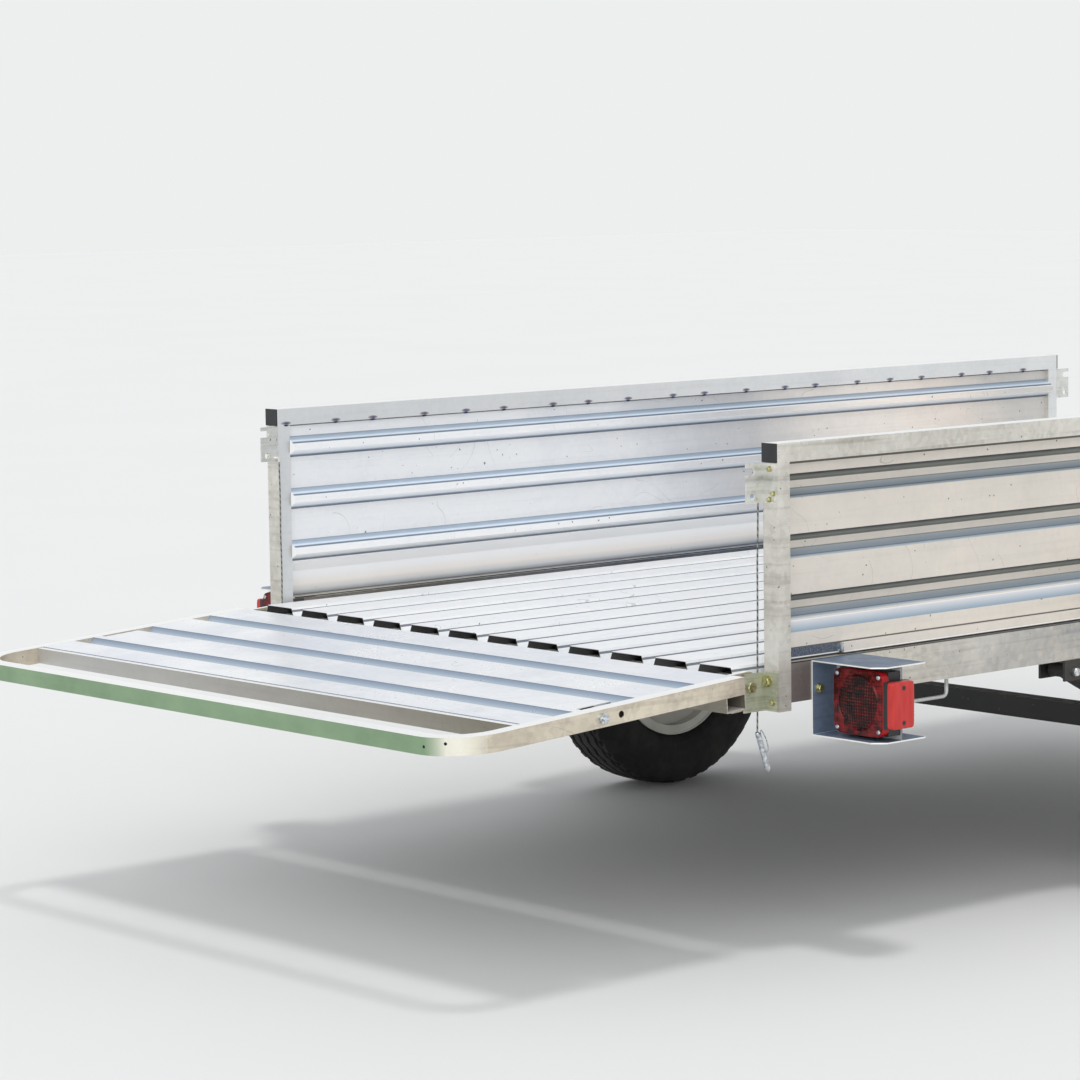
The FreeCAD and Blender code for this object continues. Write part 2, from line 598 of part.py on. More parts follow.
def jack_leg():
    """Inner tube and the fork at its foot."""
    arm = JACK_WHEEL_WIDTH / 2 + FORK_GAP
    outer = arm + FORK_SHEET
    crown_z = 2 * JACK_WHEEL + FORK_GAP
    crown_top = crown_z + FORK_SHEET
    y0, y1 = JACK_Y - FORK_HALF, JACK_Y + FORK_HALF
    tube = rod((JACK_X, JACK_Y, crown_z), (JACK_X, JACK_Y, JACK_LEG_TOP), JACK_LEG).cut(
        rod((JACK_X, JACK_Y, crown_top), (JACK_X, JACK_Y, JACK_LEG_TOP + 1),
            JACK_LEG - JACK_LEG_WALL))
    shapes = [tube, box(JACK_X - outer, JACK_X + outer, y0, y1, crown_z, crown_top)]
    for side in (-1, 1):
        xs = sorted((JACK_X + side * arm, JACK_X + side * outer))
        shapes.append(box(xs[0], xs[1], y0, y1, JACK_WHEEL, crown_top))
        shapes.append(rod((xs[0], JACK_Y, JACK_WHEEL), (xs[1], JACK_Y, JACK_WHEEL), FORK_HALF))
    shapes.append(rod((JACK_X - outer - 3, JACK_Y, JACK_WHEEL),
                      (JACK_X + outer + 3, JACK_Y, JACK_WHEEL), JACK_AXLE))
    return fused(shapes)


def jack_wheel():
    """Hard wheel with a crowned tread and a dished hub on each face."""
    half = JACK_WHEEL_WIDTH / 2
    bore = JACK_AXLE + HINGE_RUNNING
    line = [(-half - 4, bore), (-half - 4, 18), (-half + 6, 18), (-half + 6, 50), (-half, 50),
            (-half, JACK_WHEEL - 8), (-half + 8, JACK_WHEEL)]
    line += [(-a, r) for a, r in reversed(line)]
    face = Part.Face(Part.makePolygon([V(a, r, 0) for a, r in line + line[:1]]))
    wheel = face.revolve(V(0, 0, 0), V(1, 0, 0), 360)
    wheel.translate(V(JACK_X, JACK_Y, JACK_WHEEL))
    return wheel


# Axle, leaf springs and wheels

AXLE_WALL = 4.0
AXLE_PLUG = 60.0
SPINDLE = 12.5
SPRING_X = HALF - 30.0
SPRING_WIDTH = 45.0
LEAF = 6.0
LEAF_ENDS = (1.0, 0.72, 0.44)
SPRING_PAD = 6.0
EYE_DROP = 23.0
EYE_HALF_SPAN = 383.0
EYE_RADIUS = 13.0
HANGER_SHEET = 5.0
HANGER_WIDTH = 54.0
HANGER_DROP = 39.0
TYRE_INNER = HALF + TYRE_TO_BED
WHEEL_MID = TYRE_INNER + TYRE_WIDTH / 2
SPINDLE_END = WHEEL_MID + 35.0


def axle():
    """Square axle tube with a turned spindle at each end."""
    half = AXLE_SIDE / 2
    end = TYRE_INNER - 6.0
    beam = box(-end, end, AXLE_Y - half, AXLE_Y + half, TYRE_RADIUS - half, AXLE_TOP)
    hollow = box(AXLE_PLUG - end, end - AXLE_PLUG, AXLE_Y - half + AXLE_WALL, AXLE_Y + half - AXLE_WALL,
                 TYRE_RADIUS - half + AXLE_WALL, AXLE_TOP - AXLE_WALL)
    spindles = []
    for _, side in SIDES:
        spindles.append(rod((side * end, AXLE_Y, TYRE_RADIUS),
                            (side * SPINDLE_END, AXLE_Y, TYRE_RADIUS), SPINDLE))
    pads = []
    for _, side in SIDES:
        pad = box(SPRING_X - SPRING_WIDTH / 2, SPRING_X + SPRING_WIDTH / 2, AXLE_Y - 35,
                  AXLE_Y + 35, AXLE_TOP, AXLE_TOP + SPRING_PAD)
        pads.append(mirrored(pad, side))
    return fused([beam.cut(hollow)] + spindles + pads)


def leaf_spring():
    """Right spring: three arched leaves, and a rolled eye at each end of the top one."""
    base = AXLE_TOP + SPRING_PAD + LEAF * (len(LEAF_ENDS) - 1)
    eye_z = FRAME_BOTTOM - EYE_DROP
    sag = eye_z - (base + LEAF / 2)
    mid_radius = (EYE_HALF_SPAN ** 2 + sag ** 2) / (2 * sag)
    centre = V(0, AXLE_Y, base + LEAF / 2 + mid_radius)
    full = math.asin(EYE_HALF_SPAN / mid_radius)

    def point(radius, angle):
        return V(SPRING_X - SPRING_WIDTH / 2, centre.y + radius * math.sin(angle),
                 centre.z - radius * math.cos(angle))

    leaves = []
    for i, share in enumerate(LEAF_ENDS):
        r0 = mid_radius - LEAF / 2 + i * LEAF
        r1, a = r0 + LEAF, full * share
        wire = Part.Wire([
            Part.Arc(point(r0, -a), point(r0, 0), point(r0, a)).toShape(),
            Part.LineSegment(point(r0, a), point(r1, a)).toShape(),
            Part.Arc(point(r1, a), point(r1, 0), point(r1, -a)).toShape(),
            Part.LineSegment(point(r1, -a), point(r0, -a)).toShape()])
        leaves.append(Part.Face(wire).extrude(V(SPRING_WIDTH, 0, 0)))
    x0, x1 = SPRING_X - SPRING_WIDTH / 2, SPRING_X + SPRING_WIDTH / 2
    for way in (-1, 1):
        y = AXLE_Y + way * EYE_HALF_SPAN
        leaves.append(rod((x0, y, eye_z), (x1, y, eye_z), EYE_RADIUS))
    return fused(leaves)


def spring_hanger(y):
    """Right hanger: a folded bracket under the rail with a bolt through the spring's eye."""
    x0, x1 = SPRING_X - HANGER_WIDTH / 2, SPRING_X + HANGER_WIDTH / 2
    z0 = FRAME_BOTTOM - HANGER_DROP
    outer = box(x0 - HANGER_SHEET, x1 + HANGER_SHEET, y - 27, y + 27, z0, FRAME_BOTTOM)
    inner = box(x0, x1, y - 28, y + 28, z0 - 1, FRAME_BOTTOM - HANGER_SHEET)
    stubs = []
    for a, b in ((x0 - HANGER_SHEET - 8, SPRING_X - SPRING_WIDTH / 2),
                 (SPRING_X + SPRING_WIDTH / 2, x1 + HANGER_SHEET + 8)):
        stubs.append(rod((a, y, FRAME_BOTTOM - EYE_DROP), (b, y, FRAME_BOTTOM - EYE_DROP), 7))
    return fused([outer.cut(inner)] + stubs)


def axle_clamp():
    """Right clamp: a plate under the axle and two U-bolts over the spring."""
    plate_top = TYRE_RADIUS - AXLE_SIDE / 2
    reach, radius = SPRING_WIDTH / 2 + 5.5, 5.0
    spring_top = AXLE_TOP + SPRING_PAD + LEAF * len(LEAF_ENDS)
    plate = box(SPRING_X - 38, SPRING_X + 38, AXLE_Y - 38, AXLE_Y + 38, plate_top - 8, plate_top)
    shapes = [plate]
    for way in (-1, 1):
        y = AXLE_Y + way * (AXLE_SIDE / 2 + radius + 1.0)
        bar_z = spring_top + radius + 2.0
        for side in (-1, 1):
            x = SPRING_X + side * reach
            shapes.append(rod((x, y, plate_top - 16), (x, y, bar_z), radius))
        half_bar = reach + radius
        shapes.append(rod((SPRING_X - half_bar, y, bar_z), (SPRING_X + half_bar, y, bar_z), radius))
    return fused(shapes)


def revolved(line):
    """Solid turned about the right wheel's axle from (distance out, radius) points."""
    points = [V(WHEEL_MID + a, r, 0) for a, r in line]
    solid = Part.Face(Part.makePolygon(points + points[:1])).revolve(V(0, 0, 0), V(1, 0, 0), 360)
    solid.translate(V(0, AXLE_Y, TYRE_RADIUS))
    return solid


RIM_SHEET = 3.0
RIM_FLANGE = 17.5
RIM_WELL = 24.0
WELL_HALF = 20.0
WELL_STEP = 8.0
DISC_SHEET = 4.0
PILOT = 34.0
VENTS = 8
VENT_RADIUS = 11.0
VENT_CIRCLE = 92.0
BEAD_GAP = 0.2
SHOULDER = 21.0


def rim():
    """Right rim: rolled flanges, bead seats and well, with a dished disc and round vents."""
    seat, edge = RIM_SEAT_RADIUS, RIM_SEAT_RADIUS + RIM_FLANGE
    half, well = RIM_WIDTH / 2, RIM_SEAT_RADIUS - RIM_WELL
    t, d = RIM_SHEET, DISC_SHEET
    shift = t * (math.hypot(WELL_STEP, RIM_WELL) - WELL_STEP) / RIM_WELL
    outer = [(-half - 2 * t, edge), (-half, edge), (-half, seat), (-WELL_HALF - WELL_STEP, seat),
             (-WELL_HALF, well), (WELL_HALF, well), (WELL_HALF + WELL_STEP, seat), (half, seat),
             (half, edge), (half + 2 * t, edge)]
    inner = [(half + 2 * t, edge - t), (half + t, edge - t), (half + t, seat - t),
             (WELL_HALF + WELL_STEP + shift, seat - t), (WELL_HALF + shift, well - t)]
    barrel = revolved(outer + inner + [(-a, r) for a, r in reversed(inner)])
    disc = revolved([(0, PILOT), (0, 62), (14, 76), (14, well - t + 1), (14 + d, well - t + 1),
                     (14 + d, 74), (d, 60), (d, PILOT)])
    vents = []
    for i in range(VENTS):
        angle = 2 * math.pi * i / VENTS
        y = AXLE_Y + VENT_CIRCLE * math.cos(angle)
        z = TYRE_RADIUS + VENT_CIRCLE * math.sin(angle)
        vents.append(rod((WHEEL_MID + 5, y, z), (WHEEL_MID + 30, y, z), VENT_RADIUS))
    return fused([barrel, disc.cut(vents)])


def tyre():
    """Right tyre: flat tread, bevelled shoulders, upright walls and beads inside the flanges."""
    half, seat = TYRE_WIDTH / 2, RIM_SEAT_RADIUS + BEAD_GAP
    bead = RIM_WIDTH / 2 - BEAD_GAP
    low = seat + RIM_FLANGE + 1
    outer = [(-bead, seat), (-bead, low), (-half, low + half - bead),
             (-half, TYRE_RADIUS - SHOULDER), (-half + SHOULDER, TYRE_RADIUS)]
    return revolved(outer + [(-a, r) for a, r in reversed(outer)])


def hub():
    """Right hub: barrel on the spindle, flange against the disc, dust cap outside."""
    bore = SPINDLE + HINGE_RUNNING
    inner_end = TYRE_INNER + 4 - WHEEL_MID
    nut_end = SPINDLE_END - WHEEL_MID + 6
    return revolved([(inner_end, bore), (inner_end, 30), (-10, 30), (-10, 57), (-0.2, 57),
                     (-0.2, 30), (24, 30), (24, 24), (54, 20), (54, 0), (50, 0), (50, 18),
                     (nut_end, 18), (nut_end, bore)])


# Fenders over the wheels, bolted to the side rails

FENDER_GAP = 64.0
FENDER_SHEET = 2.0
FENDER_SPREAD = 72.0
FENDER_LIP = 18.0
FENDER_PAST_TYRE = 20.0
FENDER_WEB_LIFT = 8.0


def fender():
    """Right fender: arched sheet with a rolled outer lip, on a web against the side rail."""
    radius = TYRE_RADIUS + FENDER_GAP
    x0, x1 = HALF, TYRE_INNER + TYRE_WIDTH + FENDER_PAST_TYRE
    wedge_r = 2 * radius
    a = math.radians(FENDER_SPREAD)
    wedge = prism([(0, 0), (-wedge_r * math.tan(a), wedge_r), (wedge_r * math.tan(a), wedge_r)],
                  lambda y, z: (x0 - 1, AXLE_Y + y, TYRE_RADIUS + z), (x1 - x0 + 2, 0, 0))

    def ring(r0, r1, xa, xb):
        outer = rod((xa, AXLE_Y, TYRE_RADIUS), (xb, AXLE_Y, TYRE_RADIUS), r1)
        return outer.cut(rod((xa - 1, AXLE_Y, TYRE_RADIUS), (xb + 1, AXLE_Y, TYRE_RADIUS), r0))

    arch = ring(radius, radius + FENDER_SHEET, x0, x1)
    lip = ring(radius - FENDER_LIP, radius + FENDER_SHEET, x1 - FENDER_SHEET, x1)
    shell = fused([arch, lip]).common(wedge)
    web = rod((x0, AXLE_Y, TYRE_RADIUS), (x0 + FENDER_SHEET, AXLE_Y, TYRE_RADIUS),
              radius + FENDER_SHEET).common(
        box(x0 - 1, x0 + FENDER_SHEET + 1, AXLE_Y - wedge_r, AXLE_Y + wedge_r,
            FRAME_BOTTOM + FENDER_WEB_LIFT, TYRE_RADIUS + wedge_r))
    return fused([shell, web])


# Tail lamps on brackets outside the side rails

LAMP_SHEET = 2.5
LAMP_SETBACK = 80.0
LAMP_DEPTH = 115.0
LAMP_OUT = 160.0
LAMP_TALL = 132.0
LAMP_WEB = 60.0
LAMP_CHAMFER = 20.0
LENS_X = 37.0
LENS_WIDTH = 118.0
LENS_HEIGHT = 115.0
LENS_INSET = 10.0
LENS_DEPTH = 20.0
MARKER_Y = 54.0
MARKER_Z = 81.0
MARKER_BASE = 9.0
MARKER_LENS = 14.0
LAMP_Y = BED_REAR + LAMP_SETBACK
LAMP_TOP = FRAME_TOP - 1.0
LAMP_MID = LAMP_TOP - LAMP_TALL / 2


def lamp_bracket():
    """Right lamp bracket: side plate on the rail, top and bottom plates, and a cross web."""
    z0, z1 = LAMP_TOP - LAMP_TALL, LAMP_TOP
    x1, y1 = HALF + LAMP_OUT, LAMP_Y + LAMP_DEPTH
    cut = LAMP_CHAMFER
    outline = [(HALF, LAMP_Y), (x1 - cut, LAMP_Y), (x1, LAMP_Y + cut), (x1, y1), (HALF, y1)]
    plates = [prism(outline, lambda x, y: (x, y, z), (0, 0, LAMP_SHEET))
              for z in (z0, z1 - LAMP_SHEET)]
    side = box(HALF, HALF + LAMP_SHEET, LAMP_Y, y1, z0, z1)
    web = box(HALF, HALF + LENS_X + LENS_WIDTH, LAMP_Y + LAMP_WEB,
              LAMP_Y + LAMP_WEB + LAMP_SHEET, z0, z1)
    return fused(plates + [side, web])


def lamp_housing():
    """Right lamp's back shell, between the bracket's web and the lens."""
    x0 = HALF + LENS_X
    z0 = LAMP_MID - LENS_HEIGHT / 2
    y0 = LAMP_Y + LENS_INSET + LENS_DEPTH
    shell = box(x0 + 2, x0 + LENS_WIDTH - 2, y0, LAMP_Y + LAMP_WEB, z0 + 2, z0 + LENS_HEIGHT - 2)
    x1 = x0 + LENS_WIDTH
    y1 = LAMP_Y + 16.0
    base = box(x1, x1 + MARKER_BASE, y1, y1 + MARKER_Y, LAMP_MID - MARKER_Z / 2,
               LAMP_MID + MARKER_Z / 2)
    bridge = box(x1 - 2, x1, y0, LAMP_Y + LAMP_WEB, LAMP_MID - MARKER_Z / 2, LAMP_MID + MARKER_Z / 2)
    return fused([shell, bridge, base])


def lamp_lens():
    """Right lamp's square lens, its rim edges rounded."""
    x0, y0 = HALF + LENS_X, LAMP_Y + LENS_INSET
    z0 = LAMP_MID - LENS_HEIGHT / 2
    lens = box(x0, x0 + LENS_WIDTH, y0, y0 + LENS_DEPTH, z0, z0 + LENS_HEIGHT)
    front = [e for e in lens.Edges if abs(e.BoundBox.YMax - y0) < 0.01]
    corners = [e for e in lens.Edges if abs(e.BoundBox.YLength - LENS_DEPTH) < 0.01]
    return lens.makeFillet(4.0, front + corners)


def side_marker():
    """Right side marker's lens, on the housing's outer face."""
    x0 = HALF + LENS_X + LENS_WIDTH + MARKER_BASE
    y0 = LAMP_Y + 16.0
    lens = box(x0, x0 + MARKER_LENS, y0, y0 + MARKER_Y, LAMP_MID - MARKER_Z / 2,
               LAMP_MID + MARKER_Z / 2)
    front = [e for e in lens.Edges if abs(e.BoundBox.XMin - x0 - MARKER_LENS) < 0.01]
    return lens.makeFillet(3.0, front)


# Tie loops: bent rod under each side rail, one near each end

LOOP_ROD = 3.5
LOOP_BEND = 10.0
LOOP_DROP = 34.0
LOOP_X = HALF - 15.0
LOOPS = ((250.0, 440.0), (1920.0, 2110.0))


def tie_loop(y0, y1):
    """Right rope loop: a rod bent down, along and up again, welded under the rail."""
    top, bottom = FRAME_BOTTOM, FRAME_BOTTOM - LOOP_DROP
    b = LOOP_BEND
    m = b * (1 - math.sqrt(0.5))
    y0, y1 = BED_REAR + y0, BED_REAR + y1

    def at(y, z):
        return V(LOOP_X, y, z)

    path = Part.Wire([
        Part.LineSegment(at(y0, top), at(y0, bottom + b)).toShape(),
        Part.Arc(at(y0, bottom + b), at(y0 + m, bottom + m), at(y0 + b, bottom)).toShape(),
        Part.LineSegment(at(y0 + b, bottom), at(y1 - b, bottom)).toShape(),
        Part.Arc(at(y1 - b, bottom), at(y1 - m, bottom + m), at(y1, bottom + b)).toShape(),
        Part.LineSegment(at(y1, bottom + b), at(y1, top)).toShape()])
    ring = Part.Wire([Part.Circle(at(y0, top), V(0, 0, 1), LOOP_ROD).toShape()])
    return path.makePipeShell([ring], True, False)


# Lanyards: thin cables that hang from the rear latches, each with a retaining pin on its end

LANYARD = 1.5
LANYARD_ROUTE = (
    (-43.2, -4.0, -104.0), (-43.6, -4.6, -125.0), (-44.4, -4.1, -160.0), (-45.2, -5.0, -205.0),
    (-44.8, -5.6, -250.0), (-45.5, -4.9, -295.0), (-46.0, -5.4, -340.0), (-45.6, -6.2, -385.0),
    (-46.2, -5.6, -430.0), (-46.8, -6.0, -468.0), (-46.4, -7.0, -500.0))
RIVET = 3.0
FERRULE = 2.4
PIN_RADIUS = 5.0
PIN_LENGTH = 72.0
PIN_LEAN = 20.0


def lanyard_points(side):
    """Route of a lanyard: from the bed's side, the posts' rear faces and the rail tops."""
    return [V(side * (HALF + x), BED_REAR + y, TOP_HEIGHT + z) for x, y, z in LANYARD_ROUTE]


def round_cord(points, radius):
    """Tube along straight runs joined by arcs as large as the runs allow."""
    edges, at, radii = [], points[0], []
    for before, here, after in zip(points, points[1:], points[2:]):
        d0, d1 = (here - before), (after - here)
        turn = d0.getAngle(d1)
        cut = 0.45 * min(d0.Length, d1.Length)
        radii.append(cut / math.tan(turn / 2))
        d0.normalize()
        d1.normalize()
        a, b = here - d0 * cut, here + d1 * cut
        centre = a + d0.cross(d1).cross(d0).normalize() * radii[-1]
        middle = centre + (here - centre).normalize() * radii[-1]
        edges.append(Part.LineSegment(at, a).toShape())
        edges.append(Part.Arc(a, middle, b).toShape())
        at = b
    edges.append(Part.LineSegment(at, points[-1]).toShape())
    path = Part.Wire(edges)
    ring = Part.Wire([Part.Circle(points[0], points[1] - points[0], radius).toShape()])
    tube = path.makePipeShell([ring], True, False)
    print("cord: radii %.0f to %.0f, length %.1f, volume share %.4f" % (
        min(radii), max(radii), path.Length, tube.Volume / (path.Length * math.pi * radius ** 2)))
    return tube


def lanyard_rivet():
    """Right rivet in the latch leaf, with the ferrule that the lanyard comes out of."""
    end = lanyard_points(1)[0]
    z = HINGE_Z + PIN_REACH - LATCH_BELOW + 6.0
    rivet = rod((end.x, end.y, z), (LEAF_OUTER - LATCH_SHEET, end.y, z), RIVET)
    return fused([rivet, rod((end.x, end.y, end.z), (end.x, end.y, z), FERRULE)])


def retaining_pin(side):
    """Pin on the lanyard's end: an eye, a shank and a tapered nose, leaning forward."""
    head = lanyard_points(side)[-1]
    lean = math.radians(PIN_LEAN)
    way = V(0, math.sin(lean), -math.cos(lean))
    eye = Part.makeSphere(4.0, head + V(0, 0, -4.0))
    shank = Part.makeCylinder(PIN_RADIUS, PIN_LENGTH - 6, head + way * 5, way)
    nose = Part.makeCone(PIN_RADIUS, 2.5, 6, head + way * (PIN_LENGTH - 1), way)
    return fused([eye, shank, nose])


def pair(name, make):
    """Write a piece and its mirror image as two nodes."""
    shape = make()
    for word, side in SIDES:
        save("%s_%s" % (name, word), mirrored(shape, side))


def both(shapes):
    """Pieces of the right side with their mirror images, as one node."""
    shapes = list(shapes)
    return group(shapes + [mirrored(s, -1) for s in shapes])


def main():
    os.makedirs("parts", exist_ok=True)
    pair("side_rail", channel_rail)
    save("rear_cross_member", cross_member(BED_REAR + REAR_CROSS_SETBACK, HALF - POST_X))
    save("front_cross_member", cross_member(BED_FRONT - CROSS_WIDTH, HALF - POST_X))
    save("mid_cross_members", group(
        cross_member(BED_REAR + y - CROSS_WIDTH / 2, HALF - FRAME_WALL) for y in MID_CROSSES))
    save("deck", deck_sheet())
    pair("side_panel", side_panel)
    pair("top_rail", top_rail)
    save("rail_caps", both([rail_cap(BED_REAR, -1), rail_cap(BED_FRONT, 1)]))
    pair("rear_post", lambda: post(BED_REAR))
    pair("front_post", lambda: post(BED_FRONT - POST_Y))
    save("rear_latches", both([fused([latch_bracket(BED_REAR, -1), lanyard_rivet()])]))
    save("front_latches", both([latch_bracket(BED_FRONT, 1)]))
    save("hinge_brackets", both([hinge_bracket()]))
    save("gate_frame", drooped(gate_frame()))
    save("gate_sheet", drooped(gate_sheet()))
    save("gate_studs", drooped(both([gate_stud()])))
    save("tongue", tongue())
    pair("tongue_brace", brace)
    save("coupler", coupler())
    save("coupler_latch", coupler_latch())
    save("jack_mount", jack_mount())
    save("jack_tube", jack_tube())
    save("jack_crank", jack_crank())
    save("jack_leg", jack_leg())
    save("jack_wheel", jack_wheel())
    save("axle", axle())
    pair("leaf_spring", leaf_spring)
    save("spring_hangers", both(
        spring_hanger(AXLE_Y + way * EYE_HALF_SPAN) for way in (-1, 1)))
    save("axle_clamps", both([axle_clamp()]))
    pair("rim", rim)
    pair("tyre", tyre)
    pair("hub", hub)
    pair("fender", fender)
    pair("lamp_bracket", lamp_bracket)
    pair("lamp_housing", lamp_housing)
    pair("lamp_lens", lamp_lens)
    pair("side_marker", side_marker)
    save("tie_loops", both(tie_loop(y0, y1) for y0, y1 in LOOPS))
    for word, side in SIDES:
        save("lanyard_%s" % word, round_cord(lanyard_points(side), LANYARD))
        save("retaining_pin_%s" % word, retaining_pin(side))


main()
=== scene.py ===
"""Looks of the single-axle utility trailer: finishes, fasteners, tyres, lamps and hanging cables.

Metres, in the trailer's own frame: +X to its right, +Y forward to the hitch, +Z up from the ground.
"""
import math

import bmesh
import bpy
import numpy as np
from mathutils import Matrix, Vector


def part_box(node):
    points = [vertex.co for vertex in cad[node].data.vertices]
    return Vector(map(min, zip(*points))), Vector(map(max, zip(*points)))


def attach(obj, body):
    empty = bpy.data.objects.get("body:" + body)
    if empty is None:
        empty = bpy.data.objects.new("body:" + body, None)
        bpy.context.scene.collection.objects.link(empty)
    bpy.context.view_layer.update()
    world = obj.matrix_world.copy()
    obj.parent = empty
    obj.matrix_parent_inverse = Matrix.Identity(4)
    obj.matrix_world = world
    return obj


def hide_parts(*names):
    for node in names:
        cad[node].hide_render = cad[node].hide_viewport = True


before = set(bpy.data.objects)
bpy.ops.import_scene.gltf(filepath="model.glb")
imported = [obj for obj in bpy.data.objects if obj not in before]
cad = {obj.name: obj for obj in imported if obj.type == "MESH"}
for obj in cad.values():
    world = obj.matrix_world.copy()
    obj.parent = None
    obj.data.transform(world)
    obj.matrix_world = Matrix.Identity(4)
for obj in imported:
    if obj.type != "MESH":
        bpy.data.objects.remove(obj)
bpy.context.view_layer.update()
scene = bpy.context.scene
scene.view_settings.view_transform = "Standard"


# Camera
# It stands behind the trailer's right rear corner, a little above the rails, and looks along the bed
# with a long lens. It is placed from the rear face of the right rear post and the rail's top.
CAMERA_OUT = 5.1116
CAMERA_BEHIND = 4.3903
CAMERA_ABOVE = 0.4861
CAMERA_AZIMUTH = 48.76
CAMERA_ELEVATION = 5.945
CAMERA_ROLL = -0.823
CAMERA_LENS = 121.55

bed_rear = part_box("rear_post_right")[0].y
rail_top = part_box("top_rail_right")[1].z
camera_data = bpy.data.cameras.new("camera")
camera_data.sensor_width = 36.0
camera_data.lens = CAMERA_LENS
camera_data.clip_end = 200.0
camera = bpy.data.objects.new("camera", camera_data)
scene.collection.objects.link(camera)
camera.matrix_world = (
    Matrix.Translation((CAMERA_OUT, bed_rear - CAMERA_BEHIND, rail_top + CAMERA_ABOVE))
    @ Matrix.Rotation(math.radians(CAMERA_AZIMUTH), 4, "Z")
    @ Matrix.Rotation(math.radians(90.0 - CAMERA_ELEVATION), 4, "X")
    @ Matrix.Rotation(math.radians(CAMERA_ROLL), 4, "Z"))
scene.camera = camera


# Lanyards
# Two thin galvanised wire ropes hang from the rear latches and keep the gate's retaining pins. Each
# is laid from wire strands, so it is grey with a fine diagonal grain.
SIDES = (("left", -1.0), ("right", 1.0))
BED_HALF = 0.72
ROPE_DIAMETER = 0.003
STRAND_PITCH = 0.006
WAVE_BANDS = 3.2
# The right rope's stops, in millimetres: out from the bed's side, ahead of its end, above the rail.
ROPE_ROUTE = (
    (-43.2, -4.0, -104.0), (-43.6, -4.6, -125.0), (-44.4, -4.1, -160.0), (-45.2, -5.0, -205.0),
    (-44.8, -5.6, -250.0), (-45.5, -4.9, -295.0), (-46.0, -5.4, -340.0), (-45.6, -6.2, -385.0),
    (-46.2, -5.6, -430.0), (-46.8, -6.0, -468.0), (-46.4, -7.0, -500.0))


def linear(code):
    """Linear RGBA of an sRGB hex colour."""
    values = [int(code[i:i + 2], 16) / 255.0 for i in (0, 2, 4)]
    return tuple(v / 12.92 if v <= 0.04045 else ((v + 0.055) / 1.055) ** 2.4
                 for v in values) + (1.0,)


def add(tree, kind, *values, stops=(), **named):
    """Add a node and give its outputs. Values go to its inputs in order, and by name where the name
    has a capital; the other names are settings. A value is a number, a socket or an sRGB hex
    colour, and stops are a ramp's places and colours. A Scale counts patches to the metre."""
    made = tree.nodes.new("ShaderNode" + kind)
    inputs = dict(enumerate(values))
    for name, value in named.items():
        if name[0].isupper():
            inputs[name] = value
        else:
            setattr(made, name, value)
    for name, value in inputs.items():
        if isinstance(value, bpy.types.NodeSocket):
            tree.links.new(value, made.inputs[name])
        else:
            made.inputs[name].default_value = linear(value) if isinstance(value, str) else value
    if stops:
        elements = made.color_ramp.elements
        for element, (position, code) in zip(elements, (stops[0], stops[-1])):
            element.position, element.color = position, linear(code)
        for position, code in stops[1:-1]:
            elements.new(position).color = linear(code)
    return made.outputs


def new_material(name, colour, metallic, roughness):
    """A material with its shader: returns the material, its tree, the shader and the coordinates."""
    material = bpy.data.materials.new(name)
    material.use_nodes = True
    tree = material.node_tree
    shader = tree.nodes["Principled BSDF"]
    shader.inputs["Base Color"].default_value = linear(colour)
    shader.inputs["Metallic"].default_value = metallic
    shader.inputs["Roughness"].default_value = roughness
    return material, tree, shader, add(tree, "TexCoord")["Object"]


def coats(tree, colour, *layers, blend="MIX"):
    """A colour after coats are laid on it in order. Each is (share that it covers, its colour) and
    may end with a strength, which its share is multiplied by."""
    for share, coat, *strength in layers:
        if strength:
            share = add(tree, "Math", share, strength[0], operation="MULTIPLY")[0]
        colour = add(tree, "Mix", Factor=share, A=colour, B=coat, data_type="RGBA",
                     blend_type=blend)["Result"]
    return colour


def surface(tree, shader, colour, height=None, strength=0.0, distance=0.0):
    """Give a shader its colour, and a relief where a height is given."""
    tree.links.new(colour, shader.inputs["Base Color"])
    if height is not None:
        relief = add(tree, "Bump", Height=height, Strength=strength, Distance=distance)
        tree.links.new(relief["Normal"], shader.inputs["Normal"])


def paint(material, *names):
    """Give CAD nodes a material."""
    for name in names:
        data = cad[name].data
        data.materials.clear()
        data.materials.append(material)


def wire_rope():
    """Laid galvanised wire: dull zinc, its strands as a fine diagonal ridge. The wave has WAVE_BANDS
    bands to a unit, so that one comes to each strand."""
    material, tree, shader, place = new_material("wire_rope_zinc", "8E8C86", 0.85, 0.42)
    strands = add(tree, "TexWave", place, 1.0 / STRAND_PITCH / WAVE_BANDS, 1.2, 2.0, 3.0,
                  bands_direction="DIAGONAL")[1]
    surface(tree, shader, coats(tree, "4B4A47", (strands, "9C9A92")))
    return material


def on_route(side, stop):
    """A stop of the rope's route on one side of the trailer."""
    x, y, z = (value / 1000 for value in stop)
    return Vector((side * (BED_HALF + x), bed_rear + y, rail_top + z))


rope_finish = wire_rope()
for word, side in SIDES:
    curve = bpy.data.curves.new("lanyard_rope_" + word, "CURVE")
    curve.dimensions = "3D"
    curve.bevel_depth = ROPE_DIAMETER / 2
    curve.bevel_resolution = 3
    curve.use_fill_caps = True
    spline = curve.splines.new("NURBS")
    spline.points.add(len(ROPE_ROUTE) - 1)
    for target, stop in zip(spline.points, ROPE_ROUTE):
        target.co = (*on_route(side, stop), 1.0)
    spline.order_u = 3
    spline.use_endpoint_u = True
    spline.resolution_u = 12
    rope = bpy.data.objects.new("lanyard_rope_" + word, curve)
    scene.collection.objects.link(rope)
    curve.materials.append(rope_finish)
    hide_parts("lanyard_" + word)
    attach(rope, "chassis")


